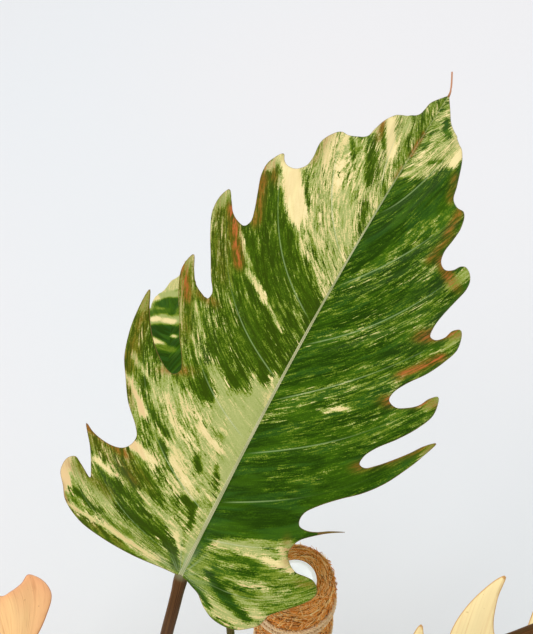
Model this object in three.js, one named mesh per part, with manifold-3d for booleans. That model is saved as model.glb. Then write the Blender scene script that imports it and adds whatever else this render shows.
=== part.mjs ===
// A potted caramel marble philodendron: a climbing aroid in a plain pot of bark mix, beside a coir pole
// on a white pipe. Eight toothed leaves stand on long stalks, the largest over the top of the pole.
// Millimetres, +Z up. The origin is the middle of the pot's underside, on the surface that it stands on.
import * as THREE from 'three';
import Module from 'manifold-3d';
import { mergeVertices } from 'three/addons/utils/BufferGeometryUtils.js';

const wasm = await Module();
wasm.setup();

const vec = (x, y, z) => new THREE.Vector3(x, y, z);
const radians = THREE.MathUtils.degToRad;
const lerp = THREE.MathUtils.lerp;
const clamp = THREE.MathUtils.clamp;

// Driving dimensions
const CLEARANCE = 0.3;
const POT = { height: 150, topRadius: 84, footRadius: 62, wall: 5, rimDrop: 26, rimProud: 4, floor: 7,
  drainRadius: 5, drainRing: 34, drains: 4, sides: 44 };
const SOIL = { top: 130, lump: 2.2 };
const POLE = { top: 560, bottom: 20, radius: 24.6, pipeRadius: 13.35, pipeWall: 2.4, pipeProud: 1 };
const TWINE = { radius: 1.2, pitch: 60, topDrop: 19, closePitch: 8, closeTurns: 1.3, startAbove: 12, endHeading: -20,
  stepsPerTurn: 15 };
const STEM = { x: -13, y: -39, bottom: 70, top: 408, radius: 9.2, nodeSwell: 1.9 };
const LEAF = { length: 370, bow: 5, swell: 2.4, wave: 3.2, dripTip: 20, dripHalf: 1.3, dripLean: 6, thickness: 0.8,
  ribDepth: 4.6, ribHalf: 3.4 };
const STALK = { topRadius: 3.7, baseRadius: 7.2, gap: 1.0, underBlade: 2.4 };

// Colours as the photo shows them
const COLOURS = {
  glazed: 0xe9e4da, soil: 0x3d2a1c, coir: 0xa5662c, pipe: 0xeef0ee, twine: 0xcfae82,
  stem: 0x5d6a34, stalk: 0x6b4a33, marbled: 0x4b7a2c, caramel: 0xe9ac6f, butter: 0xf1d58e,
};

// One half of a blade, from the stalk to the tip, in mm on the flat leaf: [along the midrib, out from it].
// Each lobe rises from the notch before it to its tip and falls to its own notch. Its side vein leaves
// the midrib at root and runs forward by lean for each mm out, then sweeps on into the lobe's tip.
// The edge is one smooth line through all these points, so notches and tips are rounded.
// A grown leaf has many short teeth.
const GROWN_LEFT = [
  { root: 0, lean: 0, rise: [[-1, 10], [-3, 30], [-3, 50], [-1, 66], [5, 79], [11, 84], [18, 90]], tip: [25.5, 90], fall: [[28.5, 86], [26.5, 80]], notch: [23, 71.5] },
  { root: 7, lean: 0.1, rise: [[30, 75], [38, 81]], tip: [48.5, 90], fall: [[46, 84], [44.5, 77], [44.5, 69], [46.5, 63]], notch: [51, 59.5] },
  { root: 36, lean: 0.35, rise: [[56, 59], [61, 62.5], [71, 73.5], [83, 82.5], [93, 89.5], [106, 94.5], [120, 97.3]], tip: [137.5, 98], fall: [[127, 92], [116, 84.5], [108, 77], [102, 69.5], [98.5, 63]], notch: [98, 57.5] },
  { root: 84, lean: 0.4, rise: [[102, 55], [108, 57.5], [120, 66], [132, 73], [145, 81], [158, 86]], tip: [169, 84.5], fall: [[160, 79], [153, 74], [149, 68]], notch: [147.3, 62.5] },
  { root: 124, lean: 0.45, rise: [[152, 61.5], [160, 66.8], [173, 74.5], [186, 82.5], [200, 88.8]], tip: [219, 87.5], fall: [[212, 82], [205, 77], [201, 71.5]], notch: [199.6, 66] },
  { root: 166, lean: 0.6, rise: [[204, 64], [212, 65.8], [225, 70.5], [238, 75], [250, 75.5]], tip: [260.5, 71], fall: [[256, 68], [253.3, 64.5]], notch: [253.3, 58] },
  { root: 210, lean: 0.9, rise: [[257.5, 54], [265, 53], [280, 54]], tip: [294.5, 47], fall: [[294.5, 42], [297, 36]], notch: [300.5, 31] },
  { root: 262, lean: 1.4, rise: [[308, 29.5], [320, 26]], tip: [331, 17], fall: [[334, 12], [339, 8.5]], notch: [350, 6] },
];
const GROWN_RIGHT = [
  { root: -1, lean: -0.3, rise: [[-2, 8], [-4, 14], [-8, 20], [-11, 27], [-11.5, 35], [-10, 42], [-6, 48]], tip: [-1, 53], fall: [], notch: [5, 55] },
  { root: 4, lean: 0, rise: [[10, 58.5], [16, 64.5], [22, 70], [27, 73]], tip: [31.5, 73.8], fall: [[34.3, 70], [34.5, 64], [34, 58.5], [36.5, 53]], notch: [41, 49.5] },
  { root: 24, lean: 0.3, rise: [[46, 50], [50.5, 52.5], [57, 59.5], [62, 66]], tip: [67.5, 74.5], fall: [[63, 65.5], [59, 59], [57, 53.5]], notch: [57.3, 48.5] },
  { root: 46, lean: 0.55, rise: [[61, 46.8], [66, 47.7], [73, 53], [82, 62], [92, 73], [103, 82], [115, 89], [127, 95]], tip: [139.5, 100], fall: [[134, 94], [126, 88], [117, 80.5], [108.5, 72.5], [104.5, 67.5]], notch: [105, 63.8] },
  { root: 77, lean: 0.65, rise: [[110, 63.8], [118, 68], [129, 77], [141, 85], [153, 90]], tip: [165, 88.5], fall: [[161, 84], [154, 80], [148.5, 74], [145.2, 68]], notch: [146.5, 62.5] },
  { root: 112, lean: 0.85, rise: [[152, 62.5], [161, 67], [173, 75.5], [186, 82], [199, 86]], tip: [211.5, 83], fall: [[208, 78.5], [201, 75.8], [196, 71]], notch: [196, 67.5] },
  { root: 150, lean: 0.85, rise: [[202, 66.8], [212, 68.3], [224, 71], [236, 73.6], [244, 72.5]], tip: [250, 67.5], fall: [[248.5, 64], [243, 60.5], [240, 56]], notch: [242.5, 51.8] },
  { root: 192, lean: 1.25, rise: [[249, 50], [260, 51], [272, 51.5]], tip: [283.5, 48.5], fall: [[284, 43.5]], notch: [287.5, 39] },
  { root: 250, lean: 1.5, rise: [[298, 36.5], [311, 33], [321, 29]], tip: [331, 23], fall: [[337, 16.5], [343, 11.5]], notch: [352, 7] },
];
// A young leaf has fewer lobes, with deeper gaps between them.
const YOUNG = [
  { root: 0, lean: -0.1, rise: [[-7, 14], [-13, 36], [-15, 60], [-8, 75], [1, 83]], tip: [9, 86], fall: [[14, 71]], notch: [28, 56] },
  { root: 16, lean: 0.3, rise: [[42, 66], [56, 80]], tip: [72, 88], fall: [[66, 72]], notch: [64, 45] },
  { root: 48, lean: 0.5, rise: [[80, 60], [98, 82], [114, 93]], tip: [130, 99], fall: [[121, 84]], notch: [112, 48] },
  { root: 94, lean: 0.6, rise: [[125, 70], [140, 86], [162, 94]], tip: [189, 95], fall: [[176, 86], [163, 72]], notch: [156, 42] },
  { root: 144, lean: 0.7, rise: [[171, 56], [188, 69], [210, 79]], tip: [238, 81], fall: [[223, 64]], notch: [214, 37] },
  { root: 196, lean: 0.9, rise: [[234, 49], [256, 61]], tip: [280, 62], fall: [[268, 48]], notch: [264, 29] },
  { root: 246, lean: 1.2, rise: [[286, 38]], tip: [318, 38], fall: [[308, 27]], notch: [310, 17] },
];
const OUTLINES = { grown: [GROWN_RIGHT, GROWN_LEFT], young: [YOUNG, YOUNG] };

// The leaves. node: the height on the stem where the stalk leaves it. base: where the blade meets its stalk.
// heading, pitch and roll: the way the midrib points there, in degrees. bend: how far the blade arches over
// its length. fold: how far each half rises from the midrib. curl: how far its edge turns down.
// teeth: how deep the gaps between the lobes are. vary: how far the lobes differ from the outline above.
// via: points that the stalk bends through on its way up.
const LEAVES = [
  { number: 1, outline: 'grown', scale: 1, teeth: 1, vary: 0, colour: 'marbled',
    base: [-67.3, -19.7, 613.2], heading: 57.1, pitch: 25.9, roll: -15.8, bend: 22, fold: 8, curl: 22,
    step: 8, node: 322, via: [[-42, -43, 384], [-78, -48, 456], [-85, -43, 522], [-78.6, -35.2, 560], [-72.4, -28.6, 588]] },
  { number: 2, outline: 'grown', scale: 0.46, teeth: 0.5, vary: 0, colour: 'marbled',
    base: [-102.3, 205.5, 430], heading: 93, pitch: 12, roll: 24, bend: 26, fold: 8, curl: 26,
    step: 8, node: 282, via: [[-42, -24, 334], [-48, 40, 382], [-74, 124, 416]] },
  { number: 3, outline: 'young', scale: 0.78, teeth: 1, vary: 0, colour: 'caramel',
    base: [-181, -17, 482], heading: 182, pitch: 8.8, roll: -22, bend: 30, fold: 12, curl: 20,
    step: 11, node: 362, via: [[-36, -70, 392], [-108, -60, 438]] },
  { number: 4, outline: 'young', scale: 1, teeth: 1, vary: 0, colour: 'butter',
    base: [16, -178, 519], heading: 28.3, pitch: 12.9, roll: -24.4, bend: 20, fold: 8, curl: 20,
    step: 11, node: 386, via: [[-20, -86, 424], [-6, -146, 482]] },
  { number: 5, outline: 'grown', scale: 0.78, teeth: 1, vary: 0.06, colour: 'marbled',
    base: [-150, -46, 352], heading: 186, pitch: -4, roll: 6, bend: 46, fold: 12, curl: 26,
    step: 11, node: 244, via: [[-62, -48, 284], [-118, -48, 330]] },
  { number: 6, outline: 'grown', scale: 0.86, teeth: 1, vary: 0.05, colour: 'marbled',
    base: [197, -24, 600], heading: -14, pitch: -4, roll: -10, bend: 34, fold: 10, curl: 24,
    step: 11, node: 342, via: [[16, -62, 392], [10, -70, 470], [4, -68, 552], [42, -70, 597], [111, -55, 606], [133, -48, 609]] },
  { number: 7, outline: 'grown', scale: 0.7, teeth: 1, vary: 0.06, colour: 'marbled',
    base: [-76, -150, 318], heading: 240, pitch: -14, roll: 4, bend: 46, fold: 12, curl: 26,
    step: 11, node: 212, via: [[-34, -84, 246], [-62, -128, 290]] },
  { number: 8, outline: 'grown', scale: 0.76, teeth: 1, vary: 0.06, colour: 'marbled',
    base: [92, -104, 330], heading: 322, pitch: -10, roll: -6, bend: 46, fold: 12, curl: 26,
    step: 11, node: 184, via: [[16, -76, 236], [58, -92, 296]] },
];

// Solids

// A closed solid of the manifold library from a geometry.
function solidOf(geometry) {
  const bare = geometry.clone();
  bare.deleteAttribute('normal');
  bare.deleteAttribute('uv');
  const merged = mergeVertices(bare, 1e-4);
  const vertProperties = new Float32Array(merged.attributes.position.array);
  return new wasm.Manifold(new wasm.Mesh({ numProp: 3, vertProperties, triVerts: new Uint32Array(merged.index.array) }));
}

// The geometry of a solid, keeping only its largest body.
function geometryOf(solid) {
  const largest = solid.decompose().reduce((a, b) => (a.volume() > b.volume() ? a : b));
  const made = largest.getMesh();
  const positions = new Float32Array(made.numVert * 3);
  for (let i = 0; i < made.numVert; i++) {
    positions.set(made.vertProperties.subarray(i * made.numProp, i * made.numProp + 3), i * 3);
  }
  const geometry = new THREE.BufferGeometry().setAttribute('position', new THREE.BufferAttribute(positions, 3));
  geometry.setIndex(new THREE.BufferAttribute(new Uint32Array(made.triVerts), 1));
  geometry.computeVertexNormals();
  return geometry;
}

// A closed geometry from corner points and triangles.
function closedGeometry(points, faces) {
  const geometry = new THREE.BufferGeometry().setFromPoints(points);
  geometry.setIndex(faces.flat());
  geometry.computeVertexNormals();
  return geometry;
}

// A round bar that follows a curve and changes its radius along it, with flat ends.
function sweep(curve, segments, sides, radiusAt) {
  const frames = curve.computeFrenetFrames(segments, false);
  const points = [];
  const faces = [];
  for (let i = 0; i <= segments; i++) {
    const t = i / segments;
    const centre = curve.getPointAt(t);
    for (let j = 0; j < sides; j++) {
      const turn = (2 * Math.PI * j) / sides;
      const out = frames.normals[i].clone().multiplyScalar(Math.cos(turn));
      out.addScaledVector(frames.binormals[i], Math.sin(turn));
      points.push(centre.clone().addScaledVector(out, radiusAt(t)));
    }
  }
  const at = (i, j) => i * sides + (j % sides);
  for (let i = 0; i < segments; i++) {
    for (let j = 0; j < sides; j++) {
      faces.push([at(i, j), at(i, j + 1), at(i + 1, j)], [at(i, j + 1), at(i + 1, j + 1), at(i + 1, j)]);
    }
  }
  const first = points.push(curve.getPointAt(0)) - 1;
  const last = points.push(curve.getPointAt(1)) - 1;
  for (let j = 0; j < sides; j++) {
    faces.push([first, at(0, j + 1), at(0, j)], [last, at(segments, j), at(segments, j + 1)]);
  }
  return closedGeometry(points, faces);
}

const smoothCurve = (points) => new THREE.CatmullRomCurve3(points, false, 'centripetal');

// The pot: a tapered wall with a plain raised band, and a flat floor with drain holes.
function potGeometry() {
  const { height, topRadius, footRadius, wall, rimDrop, rimProud, floor, drainRadius, drainRing, drains } = POT;
  const wallAt = (z) => lerp(footRadius, topRadius - rimProud, z / height);
  const profile = [
    [0, 0], [footRadius - 1.5, 0], [footRadius, 1.5],
    [wallAt(height - rimDrop), height - rimDrop], [wallAt(height - rimDrop) + rimProud, height - rimDrop + 2],
    [topRadius, height - 2], [topRadius - 2, height], [topRadius - wall, height], [topRadius - wall - 2, height - 2],
    [wallAt(height - rimDrop) - wall, height - rimDrop], [wallAt(floor) - wall, floor], [0, floor],
  ];
  const body = solidOf(new THREE.LatheGeometry(profile.map(([r, z]) => new THREE.Vector2(r, z)), POT.sides).rotateX(Math.PI / 2));
  const holes = Array.from({ length: drains }, (_, i) => {
    const turn = (2 * Math.PI * (i + 0.5)) / drains;
    const hole = new THREE.CylinderGeometry(drainRadius, drainRadius, 4 * floor, 12).rotateX(Math.PI / 2);
    return solidOf(hole.translate(drainRing * Math.cos(turn), drainRing * Math.sin(turn), 0));
  });
  return geometryOf(holes.reduce((left, hole) => left.subtract(hole), body));
}

// The inside radius of the pot at a height.
function potInside(z) {
  const { height, topRadius, footRadius, wall, rimDrop, rimProud } = POT;
  const wallAt = (at) => lerp(footRadius, topRadius - rimProud, at / height) - wall;
  const shoulder = height - rimDrop;
  const above = lerp(wallAt(shoulder), topRadius - wall - 2, (z - shoulder) / (rimDrop - 2));
  return z < shoulder ? wallAt(z) : above;
}

// The bark mix: it fills the pot, with a lumpy top.
function soilGeometry() {
  const around = 36;
  const rings = [0.16, 0.34, 0.52, 0.7, 0.86, 1];
  const bottom = POT.floor + CLEARANCE;
  const shoulder = POT.height - POT.rimDrop;
  const points = [];
  const lump = (x, y) => SOIL.lump * (Math.sin(x / 6.1 + 1.3) * Math.cos(y / 5.3) + 0.6 * Math.sin((x + y) / 3.7));
  const ring = (radius, height) => {
    for (let j = 0; j < around; j++) {
      const turn = (2 * Math.PI * j) / around;
      points.push(vec(radius * Math.cos(turn), radius * Math.sin(turn), height(radius * Math.cos(turn), radius * Math.sin(turn))));
    }
  };
  const edge = (z) => (potInside(z) - CLEARANCE) * Math.cos(Math.PI / POT.sides) - 0.2;
  rings.forEach((share) => ring(edge(SOIL.top) * share, (x, y) => SOIL.top + (share < 1 ? lump(x, y) : 0)));
  ring(edge(shoulder), () => shoulder);
  ring(edge(bottom), () => bottom);
  const loops = rings.length + 2;
  const at = (i, j) => i * around + (j % around);
  const faces = [];
  for (let i = 0; i < loops - 1; i++) {
    for (let j = 0; j < around; j++) {
      faces.push([at(i, j), at(i + 1, j), at(i, j + 1)], [at(i, j + 1), at(i + 1, j), at(i + 1, j + 1)]);
    }
  }
  const middle = points.push(vec(0, 0, SOIL.top)) - 1;
  const under = points.push(vec(0, 0, bottom)) - 1;
  for (let j = 0; j < around; j++) {
    faces.push([middle, at(0, j), at(0, j + 1)], [under, at(loops - 1, j + 1), at(loops - 1, j)]);
  }
  return closedGeometry(points, faces);
}

// The white pipe inside the pole, open at the top.
function pipeGeometry() {
  const { pipeRadius, pipeWall, bottom, top, pipeProud } = POLE;
  const inner = pipeRadius - pipeWall;
  const profile = [[inner, bottom], [pipeRadius, bottom], [pipeRadius, top + pipeProud], [inner, top + pipeProud], [inner, bottom]];
  return new THREE.LatheGeometry(profile.map(([r, z]) => new THREE.Vector2(r, z)), 28).rotateX(Math.PI / 2);
}

// The coir round the pipe: a thick mat with a rounded top and an uneven skin.
function coirGeometry() {
  const { radius, pipeRadius, bottom, top } = POLE;
  const inner = pipeRadius + 0.5;
  const around = 30;
  const outside = Array.from({ length: 12 }, (_, i) => [radius - 0.5, lerp(bottom, top - 5, i / 11)]);
  const profile = [[inner, bottom], ...outside, [radius - 2.2, top - 1.6], [radius - 5, top], [inner + 1, top - 0.5], [inner, top - 2], [inner, bottom]];
  const geometry = new THREE.LatheGeometry(profile.map(([r, z]) => new THREE.Vector2(r, z)), around).rotateX(Math.PI / 2);
  const position = geometry.getAttribute('position');
  for (let i = 0; i < position.count; i++) {
    const point = vec().fromBufferAttribute(position, i);
    const reach = Math.hypot(point.x, point.y);
    if (reach > radius - 2) {
      const turn = Math.atan2(point.y, point.x);
      const uneven = 0.25 * Math.sin(11 * turn + point.z / 9) + 0.25 * Math.sin(7 * turn - point.z / 17);
      point.multiply(vec(1 + uneven / reach, 1 + uneven / reach, 1));
      position.setXYZ(i, point.x, point.y, point.z);
    }
  }
  return geometry;
}

// The twine: it winds up the coir, with close turns near the top.
function twineGeometry() {
  const { radius, pitch, topDrop, closePitch, closeTurns, startAbove, endHeading, stepsPerTurn } = TWINE;
  const start = SOIL.top + startAbove;
  const closeFrom = POLE.top - topDrop - closePitch * closeTurns;
  const openTurns = (closeFrom - start) / pitch;
  const winding = (POLE.radius + radius + CLEARANCE) / Math.cos(Math.PI / stepsPerTurn);
  const steps = Math.round((openTurns + closeTurns) * stepsPerTurn);
  const route = [];
  for (let i = 0; i <= steps; i++) {
    const turns = ((openTurns + closeTurns) * i) / steps;
    const climb = turns < openTurns ? start + pitch * turns : closeFrom + closePitch * (turns - openTurns);
    const turn = 2 * Math.PI * (turns - openTurns - closeTurns) + radians(endHeading);
    route.push(vec(winding * Math.cos(turn), winding * Math.sin(turn), climb));
  }
  return sweep(smoothCurve(route), steps, 5, () => radius);
}

// Stem

const stemPoint = (z) => vec(STEM.x + 1.6 * Math.sin(z / 21), STEM.y + 1.2 * Math.cos(z / 27), z);

// The stem's radius at a height: it swells a little at each node and closes to a bud at the top.
function stemRadius(z) {
  const swell = LEAVES.reduce((most, leaf) => Math.max(most, Math.exp(-(((z - leaf.node + 4) / 6) ** 2))), 0);
  const bud = clamp((STEM.top - z) / 30, 0, 1);
  return lerp(1.4, STEM.radius + STEM.nodeSwell * swell, Math.sqrt(bud));
}

function stemBar(grown) {
  const bottom = STEM.bottom - grown;
  const heights = Array.from({ length: 30 }, (_, i) => lerp(bottom, STEM.top, i / 29));
  const span = STEM.top - bottom;
  return sweep(smoothCurve(heights.map(stemPoint)), 42, 9, (t) => stemRadius(bottom + span * t) + grown);
}

// Aerial roots: some clasp the pole, some drop to the soil.
function rootBars(grown) {
  const hug = POLE.radius + 2 * TWINE.radius + 2.4;
  const clasp = (z, way) => {
    const from = stemPoint(z);
    const route = [from];
    for (let i = 0; i <= 5; i++) {
      const turn = Math.atan2(STEM.y, STEM.x) + way * radians(lerp(26, 92, i / 5));
      route.push(vec(hug * Math.cos(turn), hug * Math.sin(turn), z - 5 * i + 2 * Math.sin(2 * i)));
    }
    return sweep(smoothCurve(route), 10, 5, (t) => lerp(1.7, 0.9, t) + grown);
  };
  const drop = (z, heading, reach) => {
    const from = stemPoint(z);
    const out = vec(Math.cos(radians(heading)), Math.sin(radians(heading)), 0);
    const at = (share, height) => from.clone().addScaledVector(out, reach * share).setZ(height);
    const route = [from, at(0.55, z - 4), at(0.9, lerp(SOIL.top, z, 0.5)), at(1, SOIL.top + 4), at(1.05, SOIL.top - 14 - grown)];
    return sweep(smoothCurve(route), 10, 6, (t) => lerp(2.0, 1.3, t) + grown);
  };
  return [clasp(338, 1), clasp(296, -1), clasp(258, 1), clasp(228, -1), drop(190, 215, 26), drop(172, 262, 24), drop(156, 305, 22)];
}

function stemSolid(grown) {
  return rootBars(grown).reduce((joined, root) => joined.add(solidOf(root)), solidOf(stemBar(grown)));
}

// Leaves

// How far out the line from lobe tip to lobe tip is, at a point along the midrib.
function envelope(half, along) {
  const next = half.findIndex((lobe) => lobe.tip[0] > along);
  if (next < 1) return next < 0 ? 0 : half[0].tip[1];
  const [before, after] = [half[next - 1].tip, half[next].tip];
  return lerp(before[1], after[1], (along - before[0]) / (after[0] - before[0]));
}

// The right and left half of a leaf, at its own size, with small differences of its own.
// Where the teeth are shallow, every point between two tips moves out towards the line that joins them,
// and a notch that lies behind its tip moves forward to it. Some leaves are the mirror image of others.
function leafHalves(leaf) {
  const own = (half, side) => half.map((lobe, i) => {
    const stretch = 1 + leaf.vary * Math.sin(2.4 * i + 5.1 * leaf.number + side);
    const shallow = ([along, out]) => {
      const rim = envelope(half, along);
      return [along, i > 1 && out < rim ? lerp(rim, out, leaf.teeth) : out];
    };
    const unhooked = ([along, out]) => [along < lobe.tip[0] && i > 1 ? lerp(lobe.tip[0] + 3, along, leaf.teeth) : along, out];
    const sized = ([along, out]) => [along * leaf.scale, out * stretch * leaf.scale];
    return { root: lobe.root * leaf.scale, lean: lobe.lean / stretch,
      rise: lobe.rise.map((point) => sized(shallow(point))), tip: sized(lobe.tip),
      fall: lobe.fall.map((point) => sized(shallow(unhooked(point)))), notch: sized(shallow(unhooked(lobe.notch))) };
  });
  const halves = OUTLINES[leaf.outline].map((half, side) => own(half, side));
  return mirrored(leaf) ? halves.reverse() : halves;
}

const mirrored = (leaf) => leaf.outline === 'grown' && leaf.number % 2 === 1 && leaf.number > 1;

// How far along the leaf a side vein is, this far out from the midrib.
function veinAlong(lobe, out) {
  const [tipAlong, tipOut] = lobe.tip;
  const sweepOn = (tipAlong - lobe.root - lobe.lean * tipOut) / tipOut ** 3;
  return lobe.root + lobe.lean * out + sweepOn * out ** 3;
}

// Which side vein a point is on, counted from the stalk: 2.5 is midway between the third and the fourth.
function veinNumber(half, along, out) {
  const lines = half.map((lobe) => veinAlong(lobe, out));
  const next = lines.findIndex((line) => line > along);
  if (next === 0) return Math.max(-0.5, (along - lines[0]) / 60);
  if (next < 0) return half.length - 1 + Math.min(0.5, (along - lines[half.length - 1]) / 60);
  return next - 1 + (along - lines[next - 1]) / (lines[next] - lines[next - 1]);
}

// The edge of one half from the stalk to the tip: one smooth line through all its points, cut into pieces
// about a step long, with a cut at each lobe's tip and in each notch.
function halfEdge(half, scale, step) {
  const stops = [[-0.6 * scale, 4.2 * scale]];
  const cuts = [0];
  const addStops = (points) => cuts.push(stops.push(...points) - 1);
  for (const lobe of half) {
    addStops([...lobe.rise, lobe.tip]);
    addStops([...lobe.fall, lobe.notch]);
  }
  addStops([[LEAF.length * scale, LEAF.dripHalf]]);
  const edge = smoothCurve(stops.map(([along, out]) => vec(out, along, 0)));
  const samples = 6;
  const points = [];
  for (let k = 1; k < cuts.length; k++) {
    const [from, to] = [cuts[k - 1], cuts[k]];
    const between = Array.from({ length: (to - from) * samples + 1 }, (_, i) => edge.getPoint((from + i / samples) / (stops.length - 1)));
    const stretch = smoothCurve(between);
    points.push(...stretch.getSpacedPoints(Math.max(1, Math.round(stretch.getLength() / step))).slice(0, -1));
  }
  points.push(vec(LEAF.dripHalf, LEAF.length * scale, 0));
  return points;
}

// The whole outline, as x across and y along, turning left from the stalk round by the right half.
function leafOutline(leaf, step) {
  const [right, left] = leafHalves(leaf).map((half) => halfEdge(half, leaf.scale, step));
  const flat = (point, side) => new THREE.Vector2(side * point.x, point.y);
  const tip = new THREE.Vector2(-LEAF.dripLean * leaf.scale, (LEAF.length + LEAF.dripTip) * leaf.scale);
  return [new THREE.Vector2(0, 0), ...right.map((p) => flat(p, 1)), tip, ...left.map((p) => flat(p, -1)).reverse()];
}

// The underside rib along the midrib, in mm below the blade.
function ribDepth(leaf, x, y) {
  const along = clamp(y / (LEAF.length * leaf.scale), 0, 1);
  const half = ribHalf(leaf, y);
  return LEAF.ribDepth * leaf.scale * (1 - 0.9 * along) * Math.max(0, 1 - Math.abs(x) / half);
}

function ribHalf(leaf, y) {
  return LEAF.ribHalf * leaf.scale * (1 - 0.62 * clamp(y / (LEAF.length * leaf.scale), 0, 1));
}

// Where a point of the flat leaf lies on the real one, in the leaf's own frame: x right, y forward, z up.
// The midrib arches over, each half rises from it and turns down to the edge, and the blade swells
// between its side veins and waves along its edge.
function leafSurface(leaf, halves, x, y) {
  const length = LEAF.length * leaf.scale;
  const out = Math.abs(x);
  const arch = radians(leaf.bend) / length;
  const turned = arch * y;
  const fold = radians(leaf.fold);
  const curl = -radians(leaf.curl) / (100 * leaf.scale);
  const across = (Math.sin(fold + curl * out) - Math.sin(fold)) / curl;
  const raised = (Math.cos(fold) - Math.cos(fold + curl * out)) / curl;
  const number = veinNumber(x < 0 ? halves[1] : halves[0], y, out);
  const between = Math.sin(Math.PI * number) ** 2;
  const swell = LEAF.swell * leaf.scale * between * Math.min(1, out / (26 * leaf.scale));
  const share = Math.min(1, out / (95 * leaf.scale));
  const wave = LEAF.wave * leaf.scale * share * share * Math.sin(y / (27 * leaf.scale) + 1.7 * leaf.number + Math.sign(x));
  const bow = -LEAF.bow * leaf.scale * Math.sin(Math.PI * clamp(y / length, 0, 1)) * (mirrored(leaf) ? -1 : 1);
  const lift = raised + swell + wave;
  return vec(
    Math.sign(x) * across + bow,
    Math.sin(turned) / arch + lift * Math.sin(turned),
    -(1 - Math.cos(turned)) / arch + lift * Math.cos(turned),
  );
}

// Splits an outline and the points inside it into well-shaped triangles: ears first, then each inside
// point splits its triangle, then long diagonals are flipped.
function triangulate(outline, inside) {
  const points = [...outline, ...inside];
  const turn = (a, b, c) => (b.x - a.x) * (c.y - a.y) - (b.y - a.y) * (c.x - a.x);
  let faces = THREE.ShapeUtils.triangulateShape(outline, []).map(([a, b, c]) => (
    turn(points[a], points[b], points[c]) > 0 ? [a, b, c] : [a, c, b]));
  inside.forEach((point, i) => {
    const number = outline.length + i;
    const holder = faces.findIndex(([a, b, c]) => turn(points[a], points[b], point) > 0
      && turn(points[b], points[c], point) > 0 && turn(points[c], points[a], point) > 0);
    if (holder < 0) return;
    const [a, b, c] = faces[holder];
    faces.splice(holder, 1, [a, b, number], [b, c, number], [c, a, number]);
  });
  const inCircle = (a, b, c, d) => {
    const rows = [a, b, c].map((p) => [p.x - d.x, p.y - d.y, (p.x - d.x) ** 2 + (p.y - d.y) ** 2]);
    const minor = (i, j) => rows[i][0] * rows[j][1] - rows[j][0] * rows[i][1];
    return rows[0][2] * minor(1, 2) - rows[1][2] * minor(0, 2) + rows[2][2] * minor(0, 1);
  };
  const apex = (face, p, q) => face.find((corner) => corner !== p && corner !== q);
  for (let flipped = true, rounds = 0; flipped && rounds < 80; rounds++) {
    flipped = false;
    const beside = new Map();
    faces.forEach((face, f) => face.forEach((p, i) => beside.set(`${p},${face[(i + 1) % 3]}`, f)));
    const changed = new Set();
    for (const [edge, f] of beside) {
      const [p, q] = edge.split(',').map(Number);
      const g = beside.get(`${q},${p}`);
      if (g === undefined || p > q || changed.has(f) || changed.has(g)) continue;
      const r = apex(faces[f], p, q);
      const s = apex(faces[g], p, q);
      const convex = turn(points[r], points[s], points[q]) > 1e-6 && turn(points[s], points[r], points[p]) > 1e-6;
      if (convex && inCircle(points[p], points[q], points[r], points[s]) > 1e-3) {
        faces[f] = [r, p, s];
        faces[g] = [s, q, r];
        changed.add(f).add(g);
        flipped = true;
      }
    }
  }
  return { points, faces };
}

// Points inside a leaf: along the midrib and both edges of its rib, and out along the side veins and
// midway between them, all clear of the outline.
function insidePoints(leaf, halves, outline, step) {
  const length = LEAF.length * leaf.scale;
  const found = [];
  const clearOf = (point, gap) => outline.every((a, i) => {
    const b = outline[(i + 1) % outline.length];
    const line = new THREE.Line3(vec(a.x, a.y, 0), vec(b.x, b.y, 0));
    return line.closestPointToPoint(vec(point.x, point.y, 0), true, vec()).distanceTo(vec(point.x, point.y, 0)) > gap;
  });
  const inOutline = (point) => outline.reduce((odd, a, i) => {
    const b = outline[(i + 1) % outline.length];
    const crosses = a.y > point.y !== b.y > point.y && point.x < a.x + ((b.x - a.x) * (point.y - a.y)) / (b.y - a.y);
    return crosses ? !odd : odd;
  }, false);
  const add = (point, gap, apart) => {
    if (inOutline(point) && clearOf(point, gap) && found.every((other) => other.distanceTo(point) > apart)) found.push(point);
  };
  for (let y = 0.6 * step; y < length * 0.96; y += 2.2 * step) {
    for (const side of [-1, 0, 1]) add(new THREE.Vector2(side * ribHalf(leaf, y), y), 0.8, 0.4);
  }
  halves.forEach((half, h) => {
    for (let number = 0; number <= half.length - 1; number += 0.5) {
      for (let out = 1.3 * step; out < 100 * leaf.scale; out += 1.5 * step) {
        const low = veinAlong(half[Math.floor(number)], out);
        const high = veinAlong(half[Math.ceil(number)], out);
        add(new THREE.Vector2((h ? -1 : 1) * out, lerp(low, high, number % 1)), 0.42 * step, 0.9 * step);
      }
    }
  });
  return found;
}

// The blade as one thin solid: the same triangles above and below, with the rib under the midrib.
function bladeGeometry(leaf) {
  const halves = leafHalves(leaf);
  const outline = leafOutline(leaf, leaf.step);
  const { points, faces } = triangulate(outline, insidePoints(leaf, halves, outline, leaf.step));
  const nudge = 0.4;
  const skins = points.map(({ x, y }) => {
    const middle = leafSurface(leaf, halves, x, y);
    const ahead = leafSurface(leaf, halves, x, y + nudge).sub(leafSurface(leaf, halves, x, y - nudge));
    const sideways = leafSurface(leaf, halves, x + nudge, y).sub(leafSurface(leaf, halves, x - nudge, y));
    const normal = sideways.cross(ahead).normalize();
    const top = middle.clone().addScaledVector(normal, LEAF.thickness / 2);
    const under = middle.clone().addScaledVector(normal, -LEAF.thickness / 2 - ribDepth(leaf, x, y));
    return { top, under };
  });
  const count = points.length;
  const solidFaces = faces.flatMap(([a, b, c]) => [[a, b, c], [count + a, count + c, count + b]]);
  outline.forEach((_, i) => {
    const next = (i + 1) % outline.length;
    solidFaces.push([i, count + i, next], [next, count + i, count + next]);
  });
  return closedGeometry([...skins.map((skin) => skin.top), ...skins.map((skin) => skin.under)], solidFaces);
}

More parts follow.
